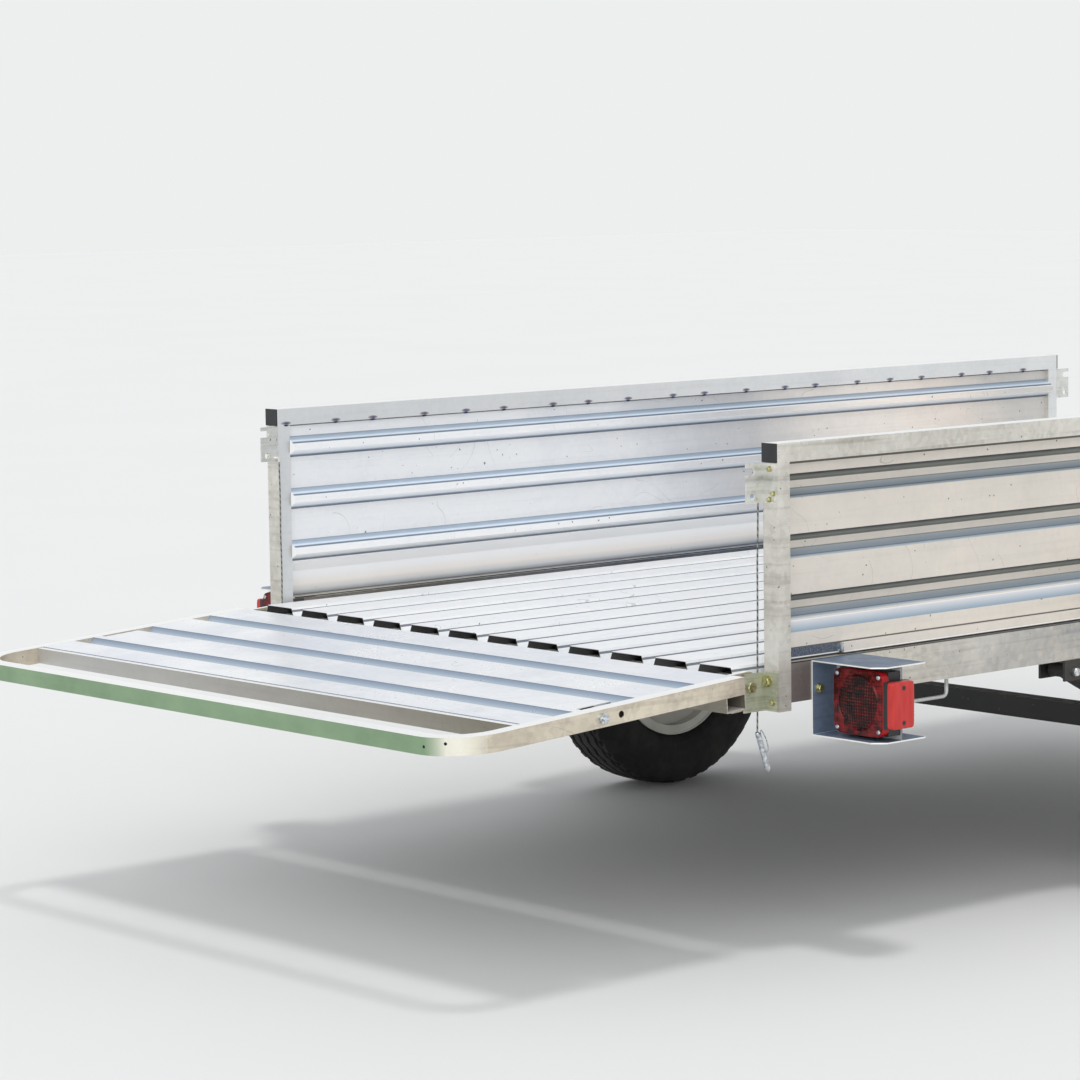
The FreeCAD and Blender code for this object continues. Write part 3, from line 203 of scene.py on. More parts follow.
# Retaining pins
# Each rope ends in a zinc-plated steel pin with a sprung wire clip, bent in one loop that hangs from
# the pin's eye beside its shank. The plating is bright with grey wear.
PIN_LEAN = math.radians(20.0)
CLIP_WIRE = 0.0009
CLIP_START = 0.002
CLIP_HALF_LENGTH = 0.021
CLIP_HALF_WIDTH = 0.006
CLIP_TAPER = 0.35
CLIP_ASIDE = 0.0085


def pair(*names):
    """Names of the left and the right node of each kind."""
    return [name + "_" + word for name in names for word, _ in SIDES]


def ring_quads(rows, columns, closed=False):
    """Quads of a grid whose columns close on themselves, and its rows too where closed is set."""
    row, column = np.meshgrid(np.arange(rows if closed else rows - 1), np.arange(columns),
                              indexing="ij")
    above, right = (row + 1) % rows, (column + 1) % columns
    return np.stack([row * columns + column, row * columns + right, above * columns + right,
                     above * columns + column], axis=-1).reshape(-1, 4)


def end_caps(rows, columns):
    """Faces that close the first and the last row of such a grid."""
    return [np.arange(columns)[::-1], (rows - 1) * columns + np.arange(columns)]


def circle(steps):
    """Angles round a full turn."""
    return np.linspace(0, 2 * math.pi, steps, endpoint=False)


def swept(path, radius, across, steps=8, closed=False):
    """A tube round a flat path: point = path + r (cos a · n + sin a · b), b across the path's plane
    and n = b × tangent."""
    path = np.asarray(path, dtype=float)
    tangent = (np.roll(path, -1, axis=0) - np.roll(path, 1, axis=0)) if closed else np.gradient(
        path, axis=0)
    tangent /= np.linalg.norm(tangent, axis=1, keepdims=True)
    binormal = np.broadcast_to(np.asarray(across, dtype=float), path.shape)
    normal = np.cross(binormal, tangent)
    normal /= np.linalg.norm(normal, axis=1, keepdims=True)
    angle = circle(steps)[None, :, None]
    radius = np.broadcast_to(np.asarray(radius, dtype=float), len(path))[:, None, None]
    points = path[:, None] + radius * (np.cos(angle) * normal[:, None]
                                       + np.sin(angle) * binormal[:, None])
    return (points.reshape(-1, 3), ring_quads(len(path), steps, closed),
            [] if closed else end_caps(len(path), steps))


def piece(name, parts, material, body, replaced=(), sharp=35.0):
    """One object of closed shells, given as (points, quads, caps): it rides on a body, takes the
    material it is given and may stand for CAD nodes."""
    faces, start = [], 0
    for points, quads, caps in parts:
        faces += (quads + start).tolist() + [(cap + start).tolist() for cap in caps]
        start += len(points)
    mesh = bpy.data.meshes.new(name)
    mesh.from_pydata(np.concatenate([points for points, _, _ in parts]).tolist(), [], faces)
    shell = bmesh.new()
    shell.from_mesh(mesh)
    bmesh.ops.recalc_face_normals(shell, faces=shell.faces)
    shell.to_mesh(mesh)
    shell.free()
    mesh.shade_smooth()
    mesh.set_sharp_from_angle(angle=math.radians(sharp))
    mesh.materials.append(material)
    made = bpy.data.objects.new(name, mesh)
    scene.collection.objects.link(made)
    if replaced:
        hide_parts(*replaced)
    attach(made, body)
    return made


def plated(name, bright, dull, roughness):
    """Zinc plating: an even metal with small clouded patches, darker where it is worn."""
    material, tree, shader, place = new_material(name, bright, 0.9, roughness)
    cloud = add(tree, "TexNoise", place, Scale=180.0, Detail=4.0)[0]
    worn = add(tree, "MapRange", cloud, 0.38, 0.68)[0]
    surface(tree, shader, coats(tree, bright, (worn, dull)), cloud, 0.1, 0.0003)
    return material


bright_plating = plated("zinc_plating", "DDE3E8", "8F959B", 0.28)
paint(bright_plating, *pair("retaining_pin"), "gate_studs")
for word, side in SIDES:
    head = np.array(on_route(side, ROPE_ROUTE[-1]))
    down = np.array([0.0, math.sin(PIN_LEAN), -math.cos(PIN_LEAN)])
    aside = np.array([0.0, math.cos(PIN_LEAN), math.sin(PIN_LEAN)])
    turn = circle(48)[:, None]
    wide = CLIP_HALF_WIDTH * np.sin(turn) * (1 - CLIP_TAPER * np.cos(turn))
    loop = (head + down * (CLIP_START + CLIP_HALF_LENGTH * (1 - np.cos(turn)))
            + aside * (CLIP_ASIDE + wide))
    piece("pin_clip_" + word, [swept(loop, CLIP_WIRE, (1.0, 0.0, 0.0), closed=True)],
          bright_plating, "chassis")


# Floor and light
# A plain pale floor that carries the shadow and a surround of the same tone. One soft lamp is nearly
# overhead, a little to the right and behind, as the sun stands in the photograph, and a weaker and
# broader one fills the sides from the camera's way.
FLOOR_REACH = 45.0
FLOOR_TONE = "ECECEA"
BACKDROP_TONE = "EDEFEF"
SURROUND_TONE = "F4F6FA"
SURROUND = 0.72
# Columns: name, way to the lamp, power, softness in degrees.
LAMPS = (("soft_sun", (0.234, -0.149, 0.957), 0.75, 9.0),
         ("soft_fill", (0.62, -0.66, 0.42), 1.0, 50.0))


def floor_finish():
    """Matt pale board: near white, with a faint mottle."""
    material, tree, shader, place = new_material("pale_floor", FLOOR_TONE, 0.0, 0.8)
    mottle = add(tree, "TexNoise", place, Scale=0.8, Detail=3.0)[0]
    surface(tree, shader, coats(tree, "EAEAE8", (mottle, "EEEEEC")))
    shader.inputs["Specular IOR Level"].default_value = 0.2
    return material


floor_mesh = bpy.data.meshes.new("floor")
floor_mesh.from_pydata([(x * FLOOR_REACH, y * FLOOR_REACH, 0.0)
                        for x, y in ((-1, -1), (1, -1), (1, 1), (-1, 1))], [], [(0, 1, 2, 3)])
floor_mesh.materials.append(floor_finish())
floor = bpy.data.objects.new("floor", floor_mesh)
scene.collection.objects.link(floor)

world = bpy.data.worlds.new("studio")
scene.world = world
world.use_nodes = True
sky = world.node_tree
rays = add(sky, "LightPath")
seen = rays["Is Camera Ray"]
for ray in ("Is Glossy Ray", "Is Transmission Ray"):
    seen = add(sky, "Math", seen, rays[ray], operation="MAXIMUM")[0]
lighting = sky.nodes["Background"]
lighting.inputs["Color"].default_value = linear(SURROUND_TONE)
lighting.inputs["Strength"].default_value = SURROUND
backdrop = add(sky, "Background", BACKDROP_TONE, 1.0)[0]
both = add(sky, "MixShader", seen, lighting.outputs[0], backdrop)[0]
sky.links.new(both, sky.nodes["World Output"].inputs["Surface"])

for name, way, power, softness in LAMPS:
    sun_data = bpy.data.lights.new(name, "SUN")
    sun_data.energy = power
    sun_data.angle = math.radians(softness)
    sun = bpy.data.objects.new(name, sun_data)
    scene.collection.objects.link(sun)
    sun.rotation_euler = Vector(way).to_track_quat("Z", "Y").to_euler()


# Frame
# Channel side rails and cross members of galvanised sheet steel, with rope loops of bent rod welded
# under them. Hot zinc leaves a pale skin with soft crystal patches, stains, specks and hairlines.
SPANGLE = 0.010
SPECK_SPACING = 0.017
SPECK_CLUSTER = 0.16
STREAK = (0.9, 0.9, 30.0)
HAIR_HALF = 0.0011
# Height of the painted shade along the rails' top edge, and reach of the lamp bracket's painted shadow
# on them.
GAP_SHADE_HEIGHT = 0.0022
LAMP_SHADOW_REACH = 0.082


def facing(tree):
    """The way the face looks, as three sockets X, Y and Z."""
    return add(tree, "SeparateXYZ", add(tree, "TexCoord")["Normal"])


def where(tree, *limits):
    """Share of the surface that meets every limit, as their product. A limit is a share, or (value,
    low, high), which is 1 between low and high and 0 outside; None leaves that end open."""
    total = None
    for limit in limits:
        if isinstance(limit, tuple):
            value, low, high = limit
            if low is None:
                limit = add(tree, "Math", value, high, operation="LESS_THAN")[0]
            elif high is None:
                limit = add(tree, "Math", value, low, operation="GREATER_THAN")[0]
            else:
                limit = add(tree, "Math", value, (low + high) / 2, (high - low) / 2,
                            operation="COMPARE")[0]
        if total is not None:
            limit = add(tree, "Math", total, limit, operation="MULTIPLY")[0]
        total = limit
    return total


def clouds(tree, place, scale, detail, low, high, most=1.0, least=0.0, **more):
    """Patches, so many to the metre: least where the noise is under low, rising to most at high."""
    noise = add(tree, "TexNoise", place, Scale=scale, Detail=detail, **more)[0]
    return add(tree, "MapRange", noise, low, high, least, most)[0]


def galvanised(name, bright, dull, roughness, specks, shade=None, metallic=0.72, relief=0.35):
    """Zinc skin: crystal patches and clouds between two tones, clustered specks, curved hairlines.
    shade may be a function that changes the colour by place or by the way a face looks."""
    material, tree, shader, place = new_material(name, bright, metallic, roughness)
    crystals = add(tree, "TexVoronoi", place, Scale=1.0 / SPANGLE)["Color"]
    patch = add(tree, "SeparateColor", crystals)["Red"]
    along = add(tree, "Mapping", place, Scale=STREAK)[0]
    stains = clouds(tree, place, 5.0, 6.0, 0.4, 0.72, 0.6, Roughness=0.62, Distortion=0.6)
    streaks = clouds(tree, along, 4.0, 4.0, 0.5, 0.75, 0.4)
    worn = add(tree, "Math", stains, streaks, operation="ADD")[0]
    worn = add(tree, "Math", patch, 0.22, worn, operation="MULTIPLY_ADD")[0]
    worn = add(tree, "Math", worn, 1.0, operation="MINIMUM")[0]

    shaken = add(tree, "TexNoise", place, Scale=160.0, Detail=2.0)["Color"]
    shaken = add(tree, "VectorMath", shaken, Scale=0.006, operation="SCALE")[0]
    shaken = add(tree, "VectorMath", place, shaken, operation="ADD")[0]
    dots = add(tree, "TexVoronoi", shaken, Scale=1.0 / SPECK_SPACING)
    drawn = add(tree, "SeparateColor", dots["Color"])
    group = clouds(tree, place, 1.0 / SPECK_CLUSTER, 2.0, 0.42, 0.7, 2.2, 0.15)
    group = add(tree, "Math", group, specks, operation="MULTIPLY")[0]
    reach = add(tree, "Math", drawn["Blue"], 0.12, operation="MULTIPLY")[0]
    spot = where(tree, (dots["Distance"], None, reach), (drawn["Green"], None, group))

    curls = add(tree, "TexNoise", place, Scale=3.2, Detail=1.0, Distortion=1.5)[0]
    strewn = add(tree, "TexNoise", place, Scale=7.0, Detail=2.0)[0]
    hair = where(tree, (curls, 0.5 - HAIR_HALF, 0.5 + HAIR_HALF), (strewn, 0.53, None))
    colour = coats(tree, bright, (worn, dull), (spot, "544B40", 0.8), (hair, "6E6A63", 0.3))
    if shade:
        colour = shade(tree, place, colour)

    gloss = add(tree, "MapRange", worn, 0.0, 1.0, roughness - 0.06, roughness + 0.16)[0]
    tree.links.new(gloss, shader.inputs["Roughness"])
    height = add(tree, "TexNoise", place, Scale=9.0, Detail=3.0)[0]
    grain = add(tree, "TexNoise", place, Scale=300.0, Detail=2.0)[0]
    height = add(tree, "Math", grain, 0.03, height, operation="MULTIPLY_ADD")[0]
    height = add(tree, "Math", spot, -0.05, height, operation="MULTIPLY_ADD")[0]
    surface(tree, shader, colour, height, relief, 0.004)
    return material


def slants(tree):
    """Shares of a face that looks up at a slant, and of one that looks down at a slant."""
    upward = facing(tree)["Z"]
    return where(tree, (upward, 0.13, 0.97)), where(tree, (upward, -0.97, -0.13))


def rail_shade(tree, place, colour):
    """Painted reflection, bluer to the front; painted shadow of the lamp bracket on the rail's face
    behind it; painted shade in the gap along the top edge.
    """
    at = add(tree, "SeparateXYZ", place)
    cloud = add(tree, "TexNoise", place, Scale=30.0, Detail=6.0, Roughness=0.75)[0]
    # Painted reflection: a bluer tone towards the front.
    ahead = add(tree, "MapRange", at["Y"], -1.2, -0.3, 0.0, 1.3)[0]
    sideways = add(tree, "Math", facing(tree)["X"], operation="ABSOLUTE")[0]
    upright = where(tree, (sideways, 0.5, None))
    # Painted shadow of the lamp bracket, and painted shade in the gap under the panel's strip.
    end = where(tree, upright, (at["Y"], None, bed_rear + LAMP_SHADOW_REACH))
    gap_shade = where(tree, upright, (at["Z"], frame_top - GAP_SHADE_HEIGHT, None))
    return coats(tree, colour, (where(tree, ahead, cloud), "8796AC"), (end, "5F565E", 0.65),
                 (gap_shade, "1B1D22", 0.85))


frame_bottom, frame_top = (corner.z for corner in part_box("side_rail_right"))
rail_zinc = galvanised("galvanised_rail", "E4DED2", "A9A296", 0.40, 1.1, rail_shade)
hidden_zinc = galvanised("galvanised_channel", "C9CBC8", "8D908E", 0.46, 0.3)
paint(rail_zinc, *pair("side_rail"))
paint(hidden_zinc, "rear_cross_member", "front_cross_member", "mid_cross_members", "tie_loops")


# Deck
# One corrugated sheet of galvanised steel, near white. Its up-facing slopes carry a line of painted
# crease shade a little below the crest, and its underside is painted nearly black as shade.
DECK_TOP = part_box("deck")[1].z
# How far below the deck's top the painted crease shade on the slopes lies.
SLOPE_SHADE_STEP = 0.0042
DECK_MARGIN = 0.664


def deck_shade(tree, place, colour):
    """Painted crease shade low on the slopes, bluish along the foot of the sides, and painted shade
    below.
    """
    at = add(tree, "SeparateXYZ", place)
    rise, _ = slants(tree)
    # Painted crease shade on the up-facing slopes, and painted shade on the underside.
    low = where(tree, rise, (at["Z"], DECK_TOP - 2 * SLOPE_SHADE_STEP, DECK_TOP - SLOPE_SHADE_STEP))
    out = add(tree, "Math", at["X"], operation="ABSOLUTE")[0]
    margin = where(tree, (out, DECK_MARGIN, None))
    below = where(tree, (facing(tree)["Z"], None, -0.1))
    return coats(tree, colour, (low, "666E78", 0.9), (margin, "8E9DAE", 0.7),
                 (below, "1D1D1B", 0.93))


deck_zinc = galvanised("galvanised_deck", "FFFFFF", "ECEFF2", 0.36, 0.10, deck_shade, 0.3, 0.2)
paint(deck_zinc, "deck")


# Side panels
# Galvanised sheet with three ribs rolled inwards, a foot set outwards and a strip along it, whose
# ends are rounded. Its colour carries painted light: shade in the creases, highlights on the edges,
# sky and ground reflections on the slopes, a reflection stripe on the inner face, duller to the
# front, shade at the inner foot, a warmer ground reflection on the outer face, shade lines about the
# strip and under the top rail, a highlight on the strip's lower edge and shade in the recesses.
PANEL_FACE = 0.697
PANEL_RIB = 0.025
PANEL_FOOT = frame_top + 0.07
# Top of the painted shade at the panels' inner foot.
CORNER_SHADE_TOP = frame_top + 0.08
FOOT_DEEP = 0.01
RAIL_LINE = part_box("top_rail_right")[0].z
SILL = (frame_top + 0.0035, frame_top + 0.0205)
SILL_MIDDLE = (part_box("top_rail_right")[0].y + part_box("top_rail_right")[1].y) / 2
SILL_REACH = 1.015
SILL_BELOW_FACE = 0.0092
# Columns: radius, height over the strip's back.
SILL_END = ((0.0084, 0.0), (0.0084, 0.0084), (0.0072, 0.0091), (0.003, 0.0091), (0.0026, 0.007))


def outlook(tree, at):
    """How far a face looks away from the trailer's middle: its X times the sign of its place's X."""
    side = add(tree, "Math", at["X"], operation="SIGN")[0]
    return add(tree, "Math", facing(tree)["X"], side, operation="MULTIPLY")[0]


def panel_shade(tree, place, colour):
    """Painted light: crease shade, edge highlights and sky and ground reflections on the bends by how
    deep they lie in a rib, shade lines and recess shade, a reflection stripe inside and a warmer
    ground reflection on what looks out.
    """
    rise, fall = slants(tree)
    at = add(tree, "SeparateXYZ", place)
    out = add(tree, "Math", at["X"], operation="ABSOLUTE")[0]
    outward = where(tree, (outlook(tree, at), 0.3, None))
    inward = add(tree, "Math", 1.0, outward, operation="SUBTRACT")[0]
    # Painted reflection on the inner face: white at the rear, then grey, warm and grey towards the
    # front.
    waver = add(tree, "TexNoise", place, Scale=6.0, Detail=3.0)[0]
    ahead = add(tree, "MapRange", at["Y"], bed_rear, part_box("side_panel_right")[1].y, -0.24, 0.76)[0]
    ahead = add(tree, "Math", at["Z"], 0.25, ahead, operation="MULTIPLY_ADD")[0]
    ahead = add(tree, "Math", waver, 0.08, ahead, operation="MULTIPLY_ADD")[0]
    reflection_band = add(tree, "ValToRGB", ahead, stops=(
        (0.28, "FFFFFF"), (0.40, "F2F2F3"), (0.49, "D0D1D4"), (0.57, "C6C4C4"), (0.66, "EFE7DF"),
        (0.76, "FCF1E6"), (0.86, "F5E7DA"), (0.95, "CFCBC5")))[0]
    # Painted reflections: warm ground on the outer face, the stripe above on the inner face.
    colour = coats(tree, colour, (outward, "DED5C9", 0.9), (inward, reflection_band, 0.9), blend="MULTIPLY")
    # Painted shade in the corner at the inner foot, near black at the bottom, with a peach painted
    # reflection of the deck higher up.
    level = add(tree, "MapRange", at["Z"], frame_top, frame_top + 0.1)[0]
    corner_shade = add(tree, "ValToRGB", level, stops=(
        (0.005, "23272D"), (0.03, "8E959C"), (0.11, "D3D3D2"), (0.22, "F8F1EA"),
        (0.42, "FFFFFF")))[0]
    colour = coats(tree, colour, (where(tree, inward, (at["Z"], None, CORNER_SHADE_TOP)), corner_shade, 0.85))

    # Painted light on the ribs' bends by depth: crease shade, edge highlights, sky reflection on faces
    # that look up and ground reflection on faces that look down.
    depth = add(tree, "MapRange", out, PANEL_FACE, PANEL_FACE - PANEL_RIB)[0]
    step = add(tree, "MapRange", out, PANEL_FACE, PANEL_FACE + FOOT_DEEP)[0]
    foot = where(tree, (at["Z"], None, PANEL_FOOT))
    sky_reflection_inside = add(tree, "ValToRGB", depth, stops=(
        (0.0, "6F8094"), (0.15, "93A5B8"), (0.45, "A5B9CE"), (0.58, "D6E6F6"), (0.70, "DCE9F6"),
        (0.78, "4A607C"), (0.9, "42566E"), (0.97, "F4F8FB")))[0]
    sky_reflection_outside = add(tree, "ValToRGB", depth, stops=(
        (0.0, "C2D2DE"), (0.16, "A9BAC8"), (0.24, "4C5A6A"), (0.34, "94A4B5"), (0.6, "AEBCC9"),
        (0.85, "C4CED5"), (0.93, "76818E"), (0.99, "E9E2D6")))[0]
    sky_reflection_foot = add(tree, "ValToRGB", step, stops=(
        (0.0, "F2F4F4"), (0.12, "D5D6DC"), (0.6, "A9B8C6"), (1.0, "7B96AC")))[0]
    ground_reflection_outside = add(tree, "ValToRGB", depth, stops=(
        (0.0, "0C0D0C"), (0.24, "101314"), (0.34, "666D68"), (0.6, "7A817C"), (0.85, "4B524C"),
        (0.98, "8B8E80")))[0]
    ground_reflection_inside = add(tree, "ValToRGB", depth, stops=(
        (0.0, "3A4D62"), (0.3, "455B73"), (0.5, "D3DBE2"), (1.0, "FFFFFF")))[0]
    above = coats(tree, sky_reflection_inside, (outward, sky_reflection_outside), (foot, sky_reflection_foot))
    below = coats(tree, ground_reflection_outside, (inward, ground_reflection_inside), (foot, "FFFFFF"))
    colour = coats(tree, colour, (rise, above, 0.88), (fall, below, 0.95))

    # Painted shade, with lighter specks, in the recess past each end of the strip.
    along = add(tree, "Math", at["Y"], SILL_MIDDLE, operation="SUBTRACT")[0]
    along = add(tree, "Math", along, operation="ABSOLUTE")[0]
    recess_specks = clouds(tree, place, 420.0, 4.0, 0.42, 0.62, Roughness=0.8)
    recess_shade = where(tree, outward, (at["Z"], None, SILL[1]), (along, SILL_REACH, None))
    colour = coats(tree, colour, (recess_shade, coats(tree, "2A313F", (recess_specks, "7E8899"))))
    # Painted shade lines above and below the strip and under the top rail on both faces, and a painted
    # highlight along the strip's lower edge.
    for low, high, code, side_share in (
            (SILL[1], SILL[1] + 0.0026, "26221E", outward), (0.0, SILL[0], "15161A", outward),
            (SILL[0], SILL[0] + 0.0022, "F6F5F2", outward),
            (RAIL_LINE - 0.0065, RAIL_LINE, "2C2823", outward),
            (RAIL_LINE - 0.0032, RAIL_LINE, "4A4F58", inward)):
        colour = coats(tree, colour, (where(tree, side_share, (at["Z"], low, high)), code, 0.85))
    return colour


def turned(profile, centre, axis, steps=24):
    """A profile turned about an axis. Its rows are (radius, height, and 1 for a hexagon):
    x = r k cos a, y = r k sin a, z = height, where k is 1 on a round ring and
    1 / cos(angle from the nearest flat's middle) on a hexagon."""
    radius, height, hexagon = np.array([(*row, 0)[:3] for row in profile], float).T[:, :, None]
    angle = circle(steps)[None, :]
    corner = 1 / np.cos((angle + math.pi / 6) % (math.pi / 3) - math.pi / 6)
    reach = radius * (1 + hexagon * (corner - 1))
    local = np.stack([reach * np.cos(angle), reach * np.sin(angle), height + 0 * angle], axis=-1)
    swing = Vector((0, 0, 1)).rotation_difference(Vector(axis)).to_matrix()
    points = local.reshape(-1, 3) @ np.array(swing).T + np.asarray(centre)
    return points, ring_quads(len(profile), steps), end_caps(len(profile), steps)


panel_zinc = galvanised("galvanised_panel", "FFFFFF", "EEF0F2", 0.36, 1.1, panel_shade, 0.25, 0.2)
paint(panel_zinc, *pair("side_panel"))
sill_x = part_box("side_panel_right")[1].x - SILL_BELOW_FACE
piece("sill_strip_ends", [
    turned(SILL_END, (side * sill_x, SILL_MIDDLE + way * SILL_REACH, sum(SILL) / 2), (side, 0, 0))
    for _, side in SIDES for way in (-1, 1)], bright_plating, "chassis")


# Posts and top rails
# Galvanised box tube. The rails are tacked to the panels along their inner lower edge, and each
# tack has left a small bead and a blue heat mark. Plugs of black plastic close the rails' ends.
TACK_PITCH = 0.1168
TACK_FIRST = 0.022
TACK_COUNT = 20
TACK_STRAY = 0.012
TACK_HALF = 0.008
TACK_RADIUS = 0.0024
TACK_STEPS = 9
MARK_HALF = (0.013, 0.0040)
MARK_STEPS = 20
# Columns: share of the mark's reach, height over the rail, halo.
MARK_RINGS = np.array([(1.0, 0.0, 0.0), (0.66, 0.0003, 0.34), (0.33, 0.0003, 0.67),
                       (0.03, 0.0003, 1.0)])
RAIL_INNER = 0.685
RAIL_DEEP = 0.033


def heat_mark(tree, place, colour):
    """Dark blue in the middle of a mark, straw further out, by the piece's own halo attribute."""
    halo = add(tree, "Attribute", attribute_name="halo")["Fac"]
    straw = add(tree, "Math", halo, 2.0, operation="MULTIPLY")[0]
    straw = add(tree, "Math", straw, 1.0, operation="MINIMUM")[0]
    patchy = add(tree, "TexNoise", place, Scale=140.0)[0]
    patchy = add(tree, "Math", patchy, 0.45, operation="ADD")[0]
    blue = add(tree, "Math", where(tree, halo, patchy), 0.95, operation="MINIMUM")[0]
    return coats(tree, colour, (straw, "A79678"), (blue, "2A4A8C"))


def plastic(name, colour, worn, roughness, pebble):
    """Moulded black plastic: fine pebbled skin, a little greyed by weather."""
    material, tree, shader, place = new_material(name, colour, 0.0, roughness)
    cloud = add(tree, "TexNoise", place, Scale=40.0, Detail=4.0)[0]
    skin = add(tree, "TexVoronoi", place, Scale=1.0 / pebble)[0]
    surface(tree, shader, coats(tree, colour, (cloud, worn)), skin, 0.3, 0.0003)
    return material


def tube_shade(tree, place, colour):
    """Painted highlight on the rails' tops, and a whiter painted reflection of the bed on the faces
    that look to it.
    """
    top = where(tree, (facing(tree)["Z"], 0.8, None))
    inner = where(tree, (outlook(tree, add(tree, "SeparateXYZ", place)), None, -0.5))
    return coats(tree, colour, (top, "FAFBFC", 0.8), (inner, "E6E9ED", 0.7))


tube_zinc = galvanised("galvanised_tube", "E2DFD6", "A7A399", 0.40, 1.2, tube_shade, 0.55)
mark_zinc = galvanised("heat_marked_zinc", "E2E4E6", "B7BABD", 0.40, 0.6, heat_mark, 0.55)
tack_steel = plated("weld_bead_steel", "3A486A", "1B2338", 0.45)
cap_plastic = plastic("moulded_cap_plastic", "1B1C1E", "2E2F31", 0.5, 0.0015)
paint(tube_zinc, *pair("top_rail", "rear_post", "front_post"))
paint(cap_plastic, "rail_caps")
order = np.arange(TACK_COUNT)
tack_y = bed_rear + TACK_FIRST + TACK_PITCH * order + TACK_STRAY * np.sin(2.3 * order)
run = np.linspace(-1.0, 1.0, TACK_STEPS)
ring = circle(MARK_STEPS)[None, :]
share, lift, _ = MARK_RINGS.T[:, :, None]
for word, side in SIDES:
    beads, marks = [], []
    for y in tack_y:
        path = np.stack([np.full(TACK_STEPS, side * (RAIL_INNER + 0.0015)), y + TACK_HALF * run,
                         np.full(TACK_STEPS, rail_top - RAIL_DEEP - 0.0005)], axis=-1)
        beads.append(swept(path, TACK_RADIUS * np.sqrt(1.02 - run ** 2), (1.0, 0.0, 0.0)))
        points = np.stack([side * (RAIL_INNER - lift) + 0 * ring,
                           y + MARK_HALF[0] * share * np.cos(ring),
                           rail_top - RAIL_DEEP + MARK_HALF[1] * (1 + share * np.sin(ring))],
                          axis=-1).reshape(-1, 3)
        rings = len(MARK_RINGS)
        marks.append((points, ring_quads(rings, MARK_STEPS), end_caps(rings, MARK_STEPS)))
    piece("rail_tacks_" + word, beads, tack_steel, "chassis")
    marked = piece("rail_heat_marks_" + word, marks, mark_zinc, "chassis")
    halo = marked.data.attributes.new("halo", "FLOAT", "POINT")
    halo.data.foreach_set("value", np.tile(np.repeat(MARK_RINGS[:, 2], MARK_STEPS), TACK_COUNT))


# Latches and hinge brackets
# Bent steel plate, zinc-plated and bolted to the posts. Hexagon bolts with washers hold them, their
# plating yellowed, and the gate turns on the two largest ones.
HINGE_BACK = 0.040
HINGE_BELOW = 0.039
WASHER = 0.0016
LEAF_PLATE = 0.004
LATCH_PLATE = 0.003
# Columns: place out, how far below the rails' top, width over the flats, height.
LEAF_BOLTS = ((0.697, 0.4105, 0.0155, 0.0065), (0.7085, 0.4469, 0.008, 0.004))
LATCH_BOLTS = ((0.7045, 0.0965, 0.0075, 0.004), (0.7130, 0.0860, 0.0070, 0.004),
               (0.7045, 0.0440, 0.0075, 0.004))
# Columns: place out, way the head looks, height.
HINGE_BOLTS = ((0.690, 1, 0.0075), (0.679, -1, 0.0074))
HINGE_FLATS = 0.0185


def bolt(centre, axis, flats, height, washer=True):
    """Hexagon head with a chamfered top, on a washer."""
    apothem, thick = flats / 2, WASHER if washer else 0.0
    rows = [(apothem * 1.35, 0.0), (apothem * 1.35, thick)] if washer else []
    rows += [(apothem * 0.98, thick, 1), (apothem, thick + 0.0004, 1),
             (apothem, thick + height * 0.82, 1), (apothem * 0.92, thick + height),
             (apothem * 0.5, thick + height)]
    return turned(rows, centre, axis)


def mirror_pair(x, y, z, axis, flats, height, washer=True):
    """The same bolt on both sides of the trailer."""
    return [bolt((side * x, y, z), (side * axis[0], axis[1], axis[2]), flats, height, washer)
            for _, side in SIDES]


def latch_shade(tree, place, colour):
    """A little rust where the pins rub, low on the leaf."""
    return coats(tree, colour, (clouds(tree, place, 60.0, 3.0, 0.62, 0.75, 0.5), "8A5A3C"))


latch_zinc = galvanised("plated_latch_plate", "E8E8E4", "A6A69E", 0.36, 0.3, latch_shade)
hinge_zinc = galvanised("galvanised_plate", "D3D5C2", "91947E", 0.38, 0.5, None, 0.55)
yellow_plating = plated("yellow_passivated_zinc", "D2CE9E", "8E8A5C", 0.3)
paint(latch_zinc, "rear_latches", "front_latches")
paint(hinge_zinc, "hinge_brackets")
hinge_y, hinge_z = bed_rear - HINGE_BACK, frame_top - HINGE_BELOW
bed_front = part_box("front_post_right")[1].y
bolts = []
for table, y, way in ((LEAF_BOLTS, bed_rear - LEAF_PLATE, -1),
                      (LATCH_BOLTS, bed_rear - LATCH_PLATE, -1),
                      (LATCH_BOLTS, bed_front + LATCH_PLATE, 1)):
    for x, low, flats, height in table:
        bolts += mirror_pair(x, y, rail_top - low, (0, way, 0), flats, height)
for x, way, height in HINGE_BOLTS:
    bolts += mirror_pair(x, hinge_y, hinge_z, (way, 0, 0), HINGE_FLATS, height, False)
piece("bracket_bolts", bolts, yellow_plating, "chassis")


# Gate
# A bent tube frame with a ribbed sheet between it and the hinge beam, welded and then galvanised.
# The sheet is bright and clouded, with a painted sky reflection and painted shade in its grooves;
# the tube's sides are browner and spotted, with painted highlights on top and at the bends, a
# painted grass reflection along the rear bar and painted shade below and behind the sheet.
GATE_DROOP = math.radians(3.42)
GATE_TOP = 0.0276
GROOVE_DEEP = 0.016
GATE_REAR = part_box("gate_frame")[0].y
REAR_BAR = 0.07
GATE_HALF = 0.65
# The right bend's two holes: place out, ahead of the bed's end and above the rails' top.
DRAIN_HOLES = ((0.6741, -0.7075, -0.4399), (0.6362, -0.7221, -0.4472))
DRAIN_RADIUS = 0.0028


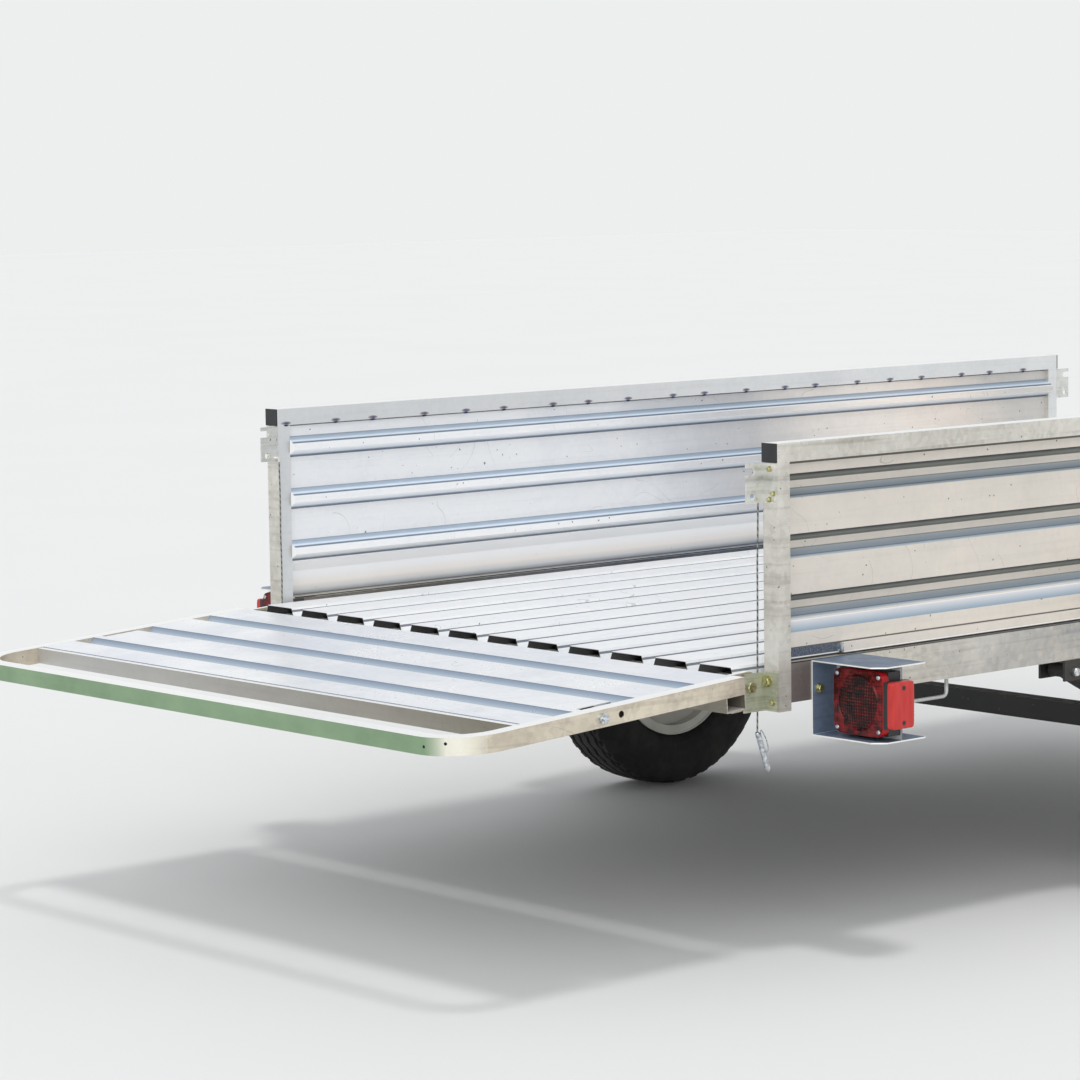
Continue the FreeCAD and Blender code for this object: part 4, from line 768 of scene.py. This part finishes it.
def gate_sheet_shade(tree, place, colour):
    """Lilac clouds on the flats, and in the grooves a painted sky reflection, bluish, with painted
    shade
    darkest at their edge: how deep a point lies in one comes from its height z cos d - y sin d, for
    the droop d."""
    at = add(tree, "SeparateXYZ", place)
    slope = add(tree, "Math", facing(tree)["Y"], operation="ABSOLUTE")[0]
    height = add(tree, "Math", at["Y"], -math.sin(GATE_DROOP), operation="MULTIPLY")[0]
    height = add(tree, "Math", at["Z"], math.cos(GATE_DROOP), height, operation="MULTIPLY_ADD")[0]
    level = hinge_z * math.cos(GATE_DROOP) - hinge_y * math.sin(GATE_DROOP) + GATE_TOP
    depth = add(tree, "MapRange", height, level, level - GROOVE_DEEP)[0]
    # Painted sky reflection in the grooves, darkest as painted shade at their edge.
    groove = add(tree, "ValToRGB", depth, stops=(
        (0.0, "4E5F77"), (0.08, "7B8DA3"), (0.35, "96A8BC"), (0.7, "BFC9D3"), (1.0, "DDE3E9")))[0]
    veil = clouds(tree, place, 2.6, 4.0, 0.45, 0.7, 0.5)
    return coats(tree, colour, (veil, "DCE0EE"), (where(tree, (slope, 0.4, None)), groove, 0.9))


def gate_tube_shade(tree, place, colour):
    """A painted highlight on top and where the tube bends, a painted reflection of grass, green-grey,
    along the rear bar, painted shade on the cross tube behind the sheet and underneath, and dark
    discs of painted shade in the two drain holes of each bend."""
    at, way = add(tree, "SeparateXYZ", place), facing(tree)
    back = add(tree, "Math", way["Y"], -1.0, operation="MULTIPLY")[0]
    outer = where(tree, (at["Y"], None, GATE_REAR + REAR_BAR))
    fore = add(tree, "Math", 1.0, outer, operation="SUBTRACT")[0]
    # Painted highlight on the bends, painted grass reflection along the rear bar and painted shade on
    # the cross tube behind the sheet.
    bend = where(tree, add(tree, "MapRange", back, 0.15, 0.7, 0.0, 0.75)[0], outer)
    bar = where(tree, add(tree, "MapRange", back, 0.84, 0.985)[0], outer)
    cloud = add(tree, "TexNoise", place, Scale=9.0, Detail=5.0)[0]
    along = add(tree, "MapRange", at["X"], -GATE_HALF, GATE_HALF)[0]
    colour = coats(tree, colour, (bend, "F2F2E4"),
                   (bar, coats(tree, "2C6639", (cloud, "8DB286")), 0.85),
                   (where(tree, (back, 0.8, None), fore),
                    coats(tree, "C3C5C6", (along, "7E7B70")), 0.85))
    # Painted shade: dark discs stand for the shaded inside of the drain holes.
    folded = add(tree, "VectorMath", place, operation="ABSOLUTE")[0]
    for x, y, z in DRAIN_HOLES:
        away = add(tree, "VectorMath", folded, (x, -bed_rear - y, rail_top + z),
                   operation="DISTANCE")["Value"]
        colour = coats(tree, colour, (where(tree, (away, None, DRAIN_RADIUS)), "17191D"))
    # Painted highlight on top and painted shade underneath.
    return coats(tree, colour, (where(tree, (way["Z"], 0.8, None)), "FDFDFD", 0.9),
                 (where(tree, (way["Z"], None, -0.8)), "6E7468", 0.5))


gate_sheet_zinc = galvanised("galvanised_gate_sheet", "FDFDFE", "DCE1E8", 0.32, 0.3,
                             gate_sheet_shade, 0.5, 0.15)
gate_tube_zinc = galvanised("galvanised_gate_tube", "E2D8C4", "A2978A", 0.36, 1.3, gate_tube_shade,
                            0.55)
paint(gate_sheet_zinc, "gate_sheet")
paint(gate_tube_zinc, "gate_frame")


# Drawbar
# Box tube drawbar with two braces, a pressed coupler with its locking lever, and the bolts through
# the coupler. The tubes are galvanised and the coupler is zinc-plated.
COUPLER_SIDE = 0.034
COUPLER_BOLTS = (0.195, 0.135)
coupler_zinc = galvanised("plated_coupler", "C9C6B4", "8B887A", 0.38, 0.3)
lever_steel = plated("plated_lever", "C8C9C4", "7D7E7A", 0.34)
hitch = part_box("coupler")[1].y
tongue_z = sum(corner.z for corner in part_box("tongue")) / 2
paint(tube_zinc, "tongue", *pair("tongue_brace"))
paint(coupler_zinc, "coupler")
paint(lever_steel, "coupler_latch")
bolts = []
for back in COUPLER_BOLTS:
    bolts += mirror_pair(COUPLER_SIDE, hitch - back, tongue_z, (1, 0, 0), 0.019, 0.008)
piece("coupler_bolts", bolts, bright_plating, "chassis")


# Jack
# A swivelling screw jack: zinc-plated tubes, a folded crank with a black grip, and a wheel of hard
# black rubber. Four bolts hold its plate to the drawbar.
GRIP_FROM_TOP = 0.072
PLATE_SIDE = -0.036
PLATE_BOLTS = (0.036, 0.021)


def crank_shade(tree, place, colour):
    """The grip is dark, the arm below it plated."""
    height = add(tree, "SeparateXYZ", place)["Z"]
    grip = where(tree, (height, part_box("jack_crank")[1].z - GRIP_FROM_TOP, None))
    return coats(tree, colour, (grip, "1C1C1E"))


jack_zinc = galvanised("plated_jack_tube", "D2D5D6", "9A9D9D", 0.34, 0.15)
crank_zinc = galvanised("plated_crank", "C8CBCC", "8E9192", 0.36, 0.15, crank_shade, 0.5)
wheel_plastic = plastic("hard_rubber_wheel", "1A1A1B", "333231", 0.62, 0.002)
paint(jack_zinc, "jack_mount", "jack_tube", "jack_leg")
paint(crank_zinc, "jack_crank")
paint(wheel_plastic, "jack_wheel")
jack_y = sum(corner.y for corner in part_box("jack_mount")) / 2
piece("jack_plate_bolts", [
    bolt((PLATE_SIDE, jack_y + along * PLATE_BOLTS[0], tongue_z + up * PLATE_BOLTS[1]),
         (-1, 0, 0), 0.010, 0.005)
    for along in (-1, 1) for up in (-1, 1)], bright_plating, "chassis")


# Axle and springs
# Square axle, leaf springs and hangers under black enamel, dusty on top and chipped to brown, with
# plated U-bolts, nuts and eye bolts.
SPRING_X = 0.690
# Each nut: out from the spring's middle, ahead of the axle, below the frame or the axle.
EYE_NUT = (0.032, 0.383, 0.023)
UBOLT_NUT = (0.028, 0.027, 0.029)


def enamel(name, colour, dust, roughness):
    """Brushed black enamel: soft sheen, brown chips, and dust that lies on what looks up."""
    material, tree, shader, place = new_material(name, colour, 0.0, roughness)
    chips = add(tree, "TexNoise", place, Scale=90.0, Detail=4.0)[0]
    upward = add(tree, "Math", facing(tree)["Z"], 0.12, operation="MAXIMUM")[0]
    film = where(tree, add(tree, "TexNoise", place, Scale=14.0, Detail=5.0)[0], upward)
    colour = coats(tree, colour, (where(tree, (chips, 0.69, None)), "5B3B28", 0.8), (film, dust))
    surface(tree, shader, colour, chips, 0.25, 0.0008)
    return material


black_enamel = enamel("black_enamel", "1A1C1E", "77736A", 0.42)
spring_enamel = enamel("sprung_steel_enamel", "202224", "6E675C", 0.5)
axle_y = sum(corner.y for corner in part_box("axle")) / 2
axle_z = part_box("tyre_right")[1].z / 2
paint(black_enamel, "axle", "spring_hangers")
paint(spring_enamel, *pair("leaf_spring"))
paint(jack_zinc, "axle_clamps")
bolts = []
for along in (-1, 1):
    for out in (-1, 1):
        for nut, level, axis, flats, height in (
                (EYE_NUT, frame_bottom, (out, 0, 0), 0.0152, 0.0084),
                (UBOLT_NUT, axle_z, (0, 0, -1), 0.015, 0.0066)):
            bolts += mirror_pair(SPRING_X + out * nut[0], axle_y + along * nut[1], level - nut[2],
                                 axis, flats, height, False)
piece("spring_bolts", bolts, bright_plating, "chassis")


# Wheels
# Pressed steel rims under silver paint on turned hubs, each held by five nuts. The tyres are
# bias-ply rubber: round walls with raised rings, and a tread of zigzag ribs with cut shoulders.
NUT_CIRCLE = 0.048
NUT_COUNT = 5
NUT_TURN = 0.3
NUT_OUT = 0.004
TYRE_HALF = 0.0685
TYRE_BEAD = 0.0506
TREAD_HALF = 0.054
TREAD_CROWN = 0.003
GROOVE_AT = (-0.037, -0.0125, 0.0125, 0.037)
GROOVE_HALF = 0.0026
GROOVE_DEPTH = 0.0065
ZIGZAGS = 48
ZIGZAG_REACH = 0.0024
CUT_FROM = 0.044
CUT_DEPTH = 0.005
CUT_SHARE = 0.26
WALL_RINGS = (0.1865, 0.204, 0.247)
AROUND = 288
ACROSS = 96


def bezier(a, b, c, d, count):
    """Cubic curve (1-t)³a + 3(1-t)²t b + 3(1-t)t² c + t³ d, without its last point."""
    t = np.linspace(0, 1, count, endpoint=False)[:, None]
    a, b, c, d = (np.asarray(p) for p in (a, b, c, d))
    return (1 - t) ** 3 * a + 3 * (1 - t) ** 2 * t * b + 3 * (1 - t) * t ** 2 * c + t ** 3 * d


def tyre_shell(middle, side):
    """Tyre as radius over (place across the section, angle). The walls are two cubic curves with
    rings added as raised ridges; the tread is crown minus a trench round each groove, whose middle
    moves sideways as a triangle wave of the angle, minus cuts across the shoulders."""
    radius = axle_z
    wall = np.concatenate([
        bezier((TYRE_BEAD, 0.1526), (TYRE_BEAD, 0.160), (TYRE_BEAD, 0.165), (TYRE_BEAD, 0.1715), 3),
        bezier((TYRE_BEAD, 0.1715), (0.062, 0.174), (0.0690, 0.198), (0.0682, 0.226), 16),
        bezier((0.0682, 0.226), (0.0680, 0.250), (0.0640, 0.268), (TREAD_HALF, radius - 0.0035), 12)])
    for height in WALL_RINGS:
        swell = np.clip(1 - np.abs(wall[:, 1] - height) / 0.0035, 0, 1)
        wall[:, 0] += 0.0010 * swell * (wall[:, 1] > 0.172)
    wall[:, 0] = np.minimum(wall[:, 0], TYRE_HALF)
    angle = circle(AROUND)[None, :]
    beat = angle * ZIGZAGS / (2 * math.pi)
    zigzag = ZIGZAG_REACH * (2 * np.abs(beat % 1 * 2 - 1) - 1)
    across = np.linspace(-TREAD_HALF, TREAD_HALF, ACROSS)[:, None]
    crown = radius - TREAD_CROWN * (across / TREAD_HALF) ** 2 + 0 * angle
    trench = 0 * crown
    for at in GROOVE_AT:
        gap = np.abs(across - at - zigzag)
        trench = np.maximum(trench, np.clip((GROOVE_HALF - gap) / 0.0012 + 0.5, 0, 1))
    cut = np.clip((np.abs(across) - CUT_FROM) / 0.002, 0, 1) * ((beat + 0.25) % 1 < CUT_SHARE)
    tread = crown - GROOVE_DEPTH * trench - CUT_DEPTH * cut
    sides = [np.broadcast_to(wall[::way, :][:, None, :], (len(wall), AROUND, 2)) for way in (1, -1)]
    rise = np.concatenate([sides[0][..., 1], tread[::-1], sides[1][..., 1]])
    reach = np.concatenate([sides[0][..., 0], np.broadcast_to(across[::-1], tread.shape),
                            -sides[1][..., 0]])
    points = np.stack([side * (middle + reach), axle_y + rise * np.cos(angle),
                       axle_z + rise * np.sin(angle)], axis=-1)
    return points.reshape(-1, 3), ring_quads(len(rise), AROUND, closed=True), []


def rubber():
    """Vulcanised black rubber: matt, with a patchy grey film of dust. Its grain is drawn 2 mm wide, so
    that it shows."""
    material, tree, shader, place = new_material("vulcanised_rubber", "19191A", 0.0, 0.72)
    film = clouds(tree, place, 18.0, 6.0, 0.42, 0.72, 0.45, Roughness=0.65)
    grain = add(tree, "TexNoise", place, Scale=500.0, Detail=2.0)[0]
    surface(tree, shader, coats(tree, "171718", (film, "4A4640")), grain, 0.3, 0.0004)
    return material


def wheel_paint():
    """Sprayed silver paint: an even pale sheen with flake and a little road dust. The flake is drawn
    about 1 mm wide, so that it shows."""
    material, tree, shader, place = new_material("silver_wheel_paint", "F6F4EA", 0.1, 0.26)
    dust = clouds(tree, place, 12.0, 5.0, 0.45, 0.75, 0.5)
    flake = add(tree, "TexNoise", place, Scale=900.0, Detail=1.0)[0]
    surface(tree, shader, coats(tree, "F4F2E8", (dust, "C9C2B2")), flake, 0.15, 0.0002)
    shader.inputs["Coat Weight"].default_value = 0.6
    return material


tyre_rubber, silver_paint = rubber(), wheel_paint()
paint(silver_paint, *pair("rim"))
paint(jack_zinc, *pair("hub"))
wheel_middle = sum(corner.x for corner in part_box("tyre_right")) / 2
for word, side in SIDES:
    nuts = []
    for i in range(NUT_COUNT):
        turn = 2 * math.pi * i / NUT_COUNT + NUT_TURN
        place = (side * (wheel_middle + NUT_OUT), axle_y + NUT_CIRCLE * math.cos(turn),
                 axle_z + NUT_CIRCLE * math.sin(turn))
        nuts.append(bolt(place, (side, 0, 0), 0.019, 0.014, False))
    piece("wheel_nuts_" + word, nuts, bright_plating, "wheel_" + word)
    piece("tyre_rubber_" + word, [tyre_shell(wheel_middle, side)], tyre_rubber, "wheel_" + word,
          ["tyre_" + word], sharp=40.0)


# Mudguards
# Arched galvanised sheet over each wheel with a rolled lip, bolted through its web to the rail.
WEB_SIDE = 0.722
WEB_UP = 0.036
WEB_BOLTS = (-0.22, -0.09, 0.09, 0.22)
fender_zinc = galvanised("galvanised_mudguard", "E4DED2", "A9A296", 0.40, 0.5)
paint(fender_zinc, *pair("fender"))
bolts = []
for along in WEB_BOLTS:
    bolts += mirror_pair(WEB_SIDE, axle_y + along, frame_bottom + WEB_UP, (1, 0, 0), 0.013, 0.006)
piece("mudguard_bolts", bolts, bright_plating, "chassis")


# Tail lamps
# A folded steel bracket carries a sealed lamp: black housing, a bulging square lens of dark red
# acrylic with a round optic, held by four screws, and a coral side lens with two keyholes.
LENS_ROUNDING = 7.0
MARKER_ROUNDING = 14.0
LENS_RINGS = 84
LENS_STEPS = 240
OPTIC_RADIUS = 0.047
OPTIC_PITCH = 0.0055
RIB_PITCH = 0.004
CUT_EDGE = 0.003
SCREW_INSET = 0.0105
SCREW_SUNK = 0.0052
KEYHOLE_UP = 0.030
BRACKET_SIDE = 0.7225
BRACKET_BELOW = 0.4304
BRACKET_BOLTS = (0.0962, 0.170)
# Columns: radius, height.
SCREW = ((0.0038, 0.0), (0.0038, 0.0016), (0.0030, 0.0026), (0.0012, 0.0030), (0.0010, 0.0016))
KEYHOLE = ((0.0042, -0.004), (0.0042, -0.0004), (0.0030, -0.0004))


def edge_shade(tree, place, colour):
    """Painted highlight on the plates' cut edges."""
    low, high = (corner.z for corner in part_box("lamp_bracket_right"))
    way = facing(tree)
    away = add(tree, "SeparateXYZ", place)["Z"]
    away = add(tree, "Math", away, (low + high) / 2, operation="SUBTRACT")[0]
    away = add(tree, "Math", away, operation="ABSOLUTE")[0]
    edge = where(tree, (way["Z"], -0.5, 0.5), (away, (high - low) / 2 - CUT_EDGE, None))
    cut = add(tree, "Math", edge, where(tree, (way["Y"], None, -0.9)), operation="MAXIMUM")[0]
    return coats(tree, colour, (cut, "F2F3F0"))


def lens_acrylic():
    """Dark red acrylic, glossy: nearly black in the round optic, with a painted highlight on the tips
    of its small pyramids, clearer outside and bright red on the rim. The shares come from the
    piece's attributes."""
    material, tree, shader, place = new_material("dark_red_acrylic", "5C0D10", 0.0, 0.2)
    shader.inputs["Specular IOR Level"].default_value = 0.25
    dome, tip_highlight, rim = (add(tree, "Attribute", attribute_name=name)["Fac"]
                        for name in ("dome", "tip_highlight", "rim"))
    cloud = clouds(tree, place, 85.0, 5.0, 0.38, 0.66)
    outside = coats(tree, "2E0608", (cloud, "7A1418"))
    inside = coats(tree, "120303", (cloud, "360A0B"))
    surface(tree, shader, coats(tree, outside, (dome, inside),
                                (where(tree, tip_highlight, cloud), "A22A2E", 0.9), (rim, "A61519")))
    return material


def marker_acrylic():
    """Sun-bleached coral acrylic, glossy, lighter in soft vertical streaks."""
    material, tree, shader, place = new_material("coral_red_acrylic", "C02A26", 0.0, 0.2)
    shader.inputs["Specular IOR Level"].default_value = 0.3
    along = add(tree, "Mapping", place, Scale=(1.0, 1.0, 0.25))[0]
    streak = add(tree, "TexNoise", along, Scale=90.0, Detail=3.0)[0]
    surface(tree, shader, coats(tree, "B0201E", (streak, "CC4540")))
    return material


def lens_shell(low, high, axis, way, rounding, relief):
    """Bulging square plate on a polar grid, its front on one axis: its edge is a superellipse, its
    front is moved back by relief(across, up) and its rim turns back to the housing."""
    flat = 1 - axis
    middle = (low + high) / 2
    half, half_z, thick = (high[flat] - low[flat]) / 2, (high.z - low.z) / 2, high[axis] - low[axis]
    front = high[axis] if way > 0 else low[axis]
    angle = circle(LENS_STEPS)[None, :]
    edge = (np.abs(np.cos(angle)) ** rounding + np.abs(np.sin(angle)) ** rounding) ** (-1 / rounding)
    share = np.concatenate([np.linspace(0.01, 0.975, LENS_RINGS), [0.992, 1.0, 1.0]])[:, None]
    across, up = half * share * edge * np.cos(angle), half_z * share * edge * np.sin(angle)
    depth = relief(across, up)
    depth[-3:] = np.array([depth[-4].max() + 0.0006, depth[-4].max() + 0.003, thick])[:, None]
    columns = [None, None, middle.z + up]
    columns[flat], columns[axis] = middle[flat] + across, front - way * depth
    rows = len(depth)
    return (np.stack(columns, axis=-1).reshape(-1, 3), ring_quads(rows, LENS_STEPS),
            end_caps(rows, LENS_STEPS))


def pyramids(across, up):
    """Height share lost from the tips of small square pyramids, 0 to 1."""
    return np.abs((across / OPTIC_PITCH) % 1 - 0.5) + np.abs((up / OPTIC_PITCH) % 1 - 0.5)


def optic(across, up):
    """Depth behind the foremost point: a dome of small pyramids inside a thin ring, fine ribs
    outside it."""
    out = np.hypot(across, up)
    dome = 0.0045 - 0.0035 * np.clip(1 - (out / OPTIC_RADIUS) ** 2, 0, 1)
    edge = np.clip(1 - np.abs(out - OPTIC_RADIUS) / 0.0018, 0, 1)
    ribs = 0.0004 * np.abs((across / RIB_PITCH) % 1 - 0.5)
    inside = out < OPTIC_RADIUS
    return dome + np.where(inside, 0.0011 * pyramids(across, up), 0.0006 + ribs) - 0.0028 * edge


def pillow(across, up):
    """Depth behind the foremost point: a flat face that falls off softly to its edges."""
    return 0.0006 + 0.0014 * (np.abs(across) / 0.027) ** 6 + 0.0014 * (np.abs(up) / 0.0405) ** 8


# The bracket's blue-grey tones are a painted sky reflection.
sky_tinted_bracket_zinc = galvanised("galvanised_lamp_bracket", "7C8DA5", "5E6D82", 0.40, 0.5, edge_shade, 0.35)
lens_red, marker_red = lens_acrylic(), marker_acrylic()
housing_plastic = plastic("sealed_lamp_housing", "141416", "26272A", 0.38, 0.0012)
paint(sky_tinted_bracket_zinc, *pair("lamp_bracket"))
paint(housing_plastic, *pair("lamp_housing"))
for word, side in SIDES:
    low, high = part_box("lamp_lens_" + word)
    middle, half = (low + high) / 2, (high - low) / 2
    shell = lens_shell(low, high, 1, -1, LENS_ROUNDING, optic)
    lens = piece("lamp_optic_" + word, [shell], lens_red, "chassis",
                 ["lamp_lens_" + word], sharp=20.0)
    across, up = shell[0][:, 0] - middle.x, shell[0][:, 2] - middle.z
    inside = np.clip((OPTIC_RADIUS - np.hypot(across, up)) / 0.003, 0, 1)
    rows = np.arange(len(across)) // LENS_STEPS
    # The pyramids' tips get the share of the painted highlight.
    for name, values in (("dome", inside), ("tip_highlight", np.clip(1 - 2.4 * pyramids(across, up), 0, 1)),
                         ("rim", (rows >= LENS_RINGS).astype(float))):
        lens.data.attributes.new(name, "FLOAT", "POINT").data.foreach_set("value", values)
    screws = [turned(SCREW, (middle.x + out * (half.x - SCREW_INSET), low.y + SCREW_SUNK,
                             middle.z + up * (half.z - SCREW_INSET)), (0, -1, 0), 16)
              for out in (-1, 1) for up in (-1, 1)]
    piece("lens_screws_" + word, screws, bright_plating, "chassis")
    low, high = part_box("side_marker_" + word)
    piece("marker_lens_" + word, [lens_shell(low, high, 0, side, MARKER_ROUNDING, pillow)],
          marker_red, "chassis", ["side_marker_" + word], sharp=30.0)
    middle = (low + high) / 2
    keyholes = [turned(KEYHOLE, (high.x if side > 0 else low.x, middle.y,
                                 middle.z + up * KEYHOLE_UP), (side, 0, 0), 16) for up in (-1, 1)]
    piece("marker_keyholes_" + word, keyholes, housing_plastic, "chassis")
bolts = []
for along in BRACKET_BOLTS:
    bolts += mirror_pair(BRACKET_SIDE, bed_rear + along, rail_top - BRACKET_BELOW, (1, 0, 0), 0.013,
                         0.006)
piece("lamp_bracket_bolts", bolts, yellow_plating, "chassis")
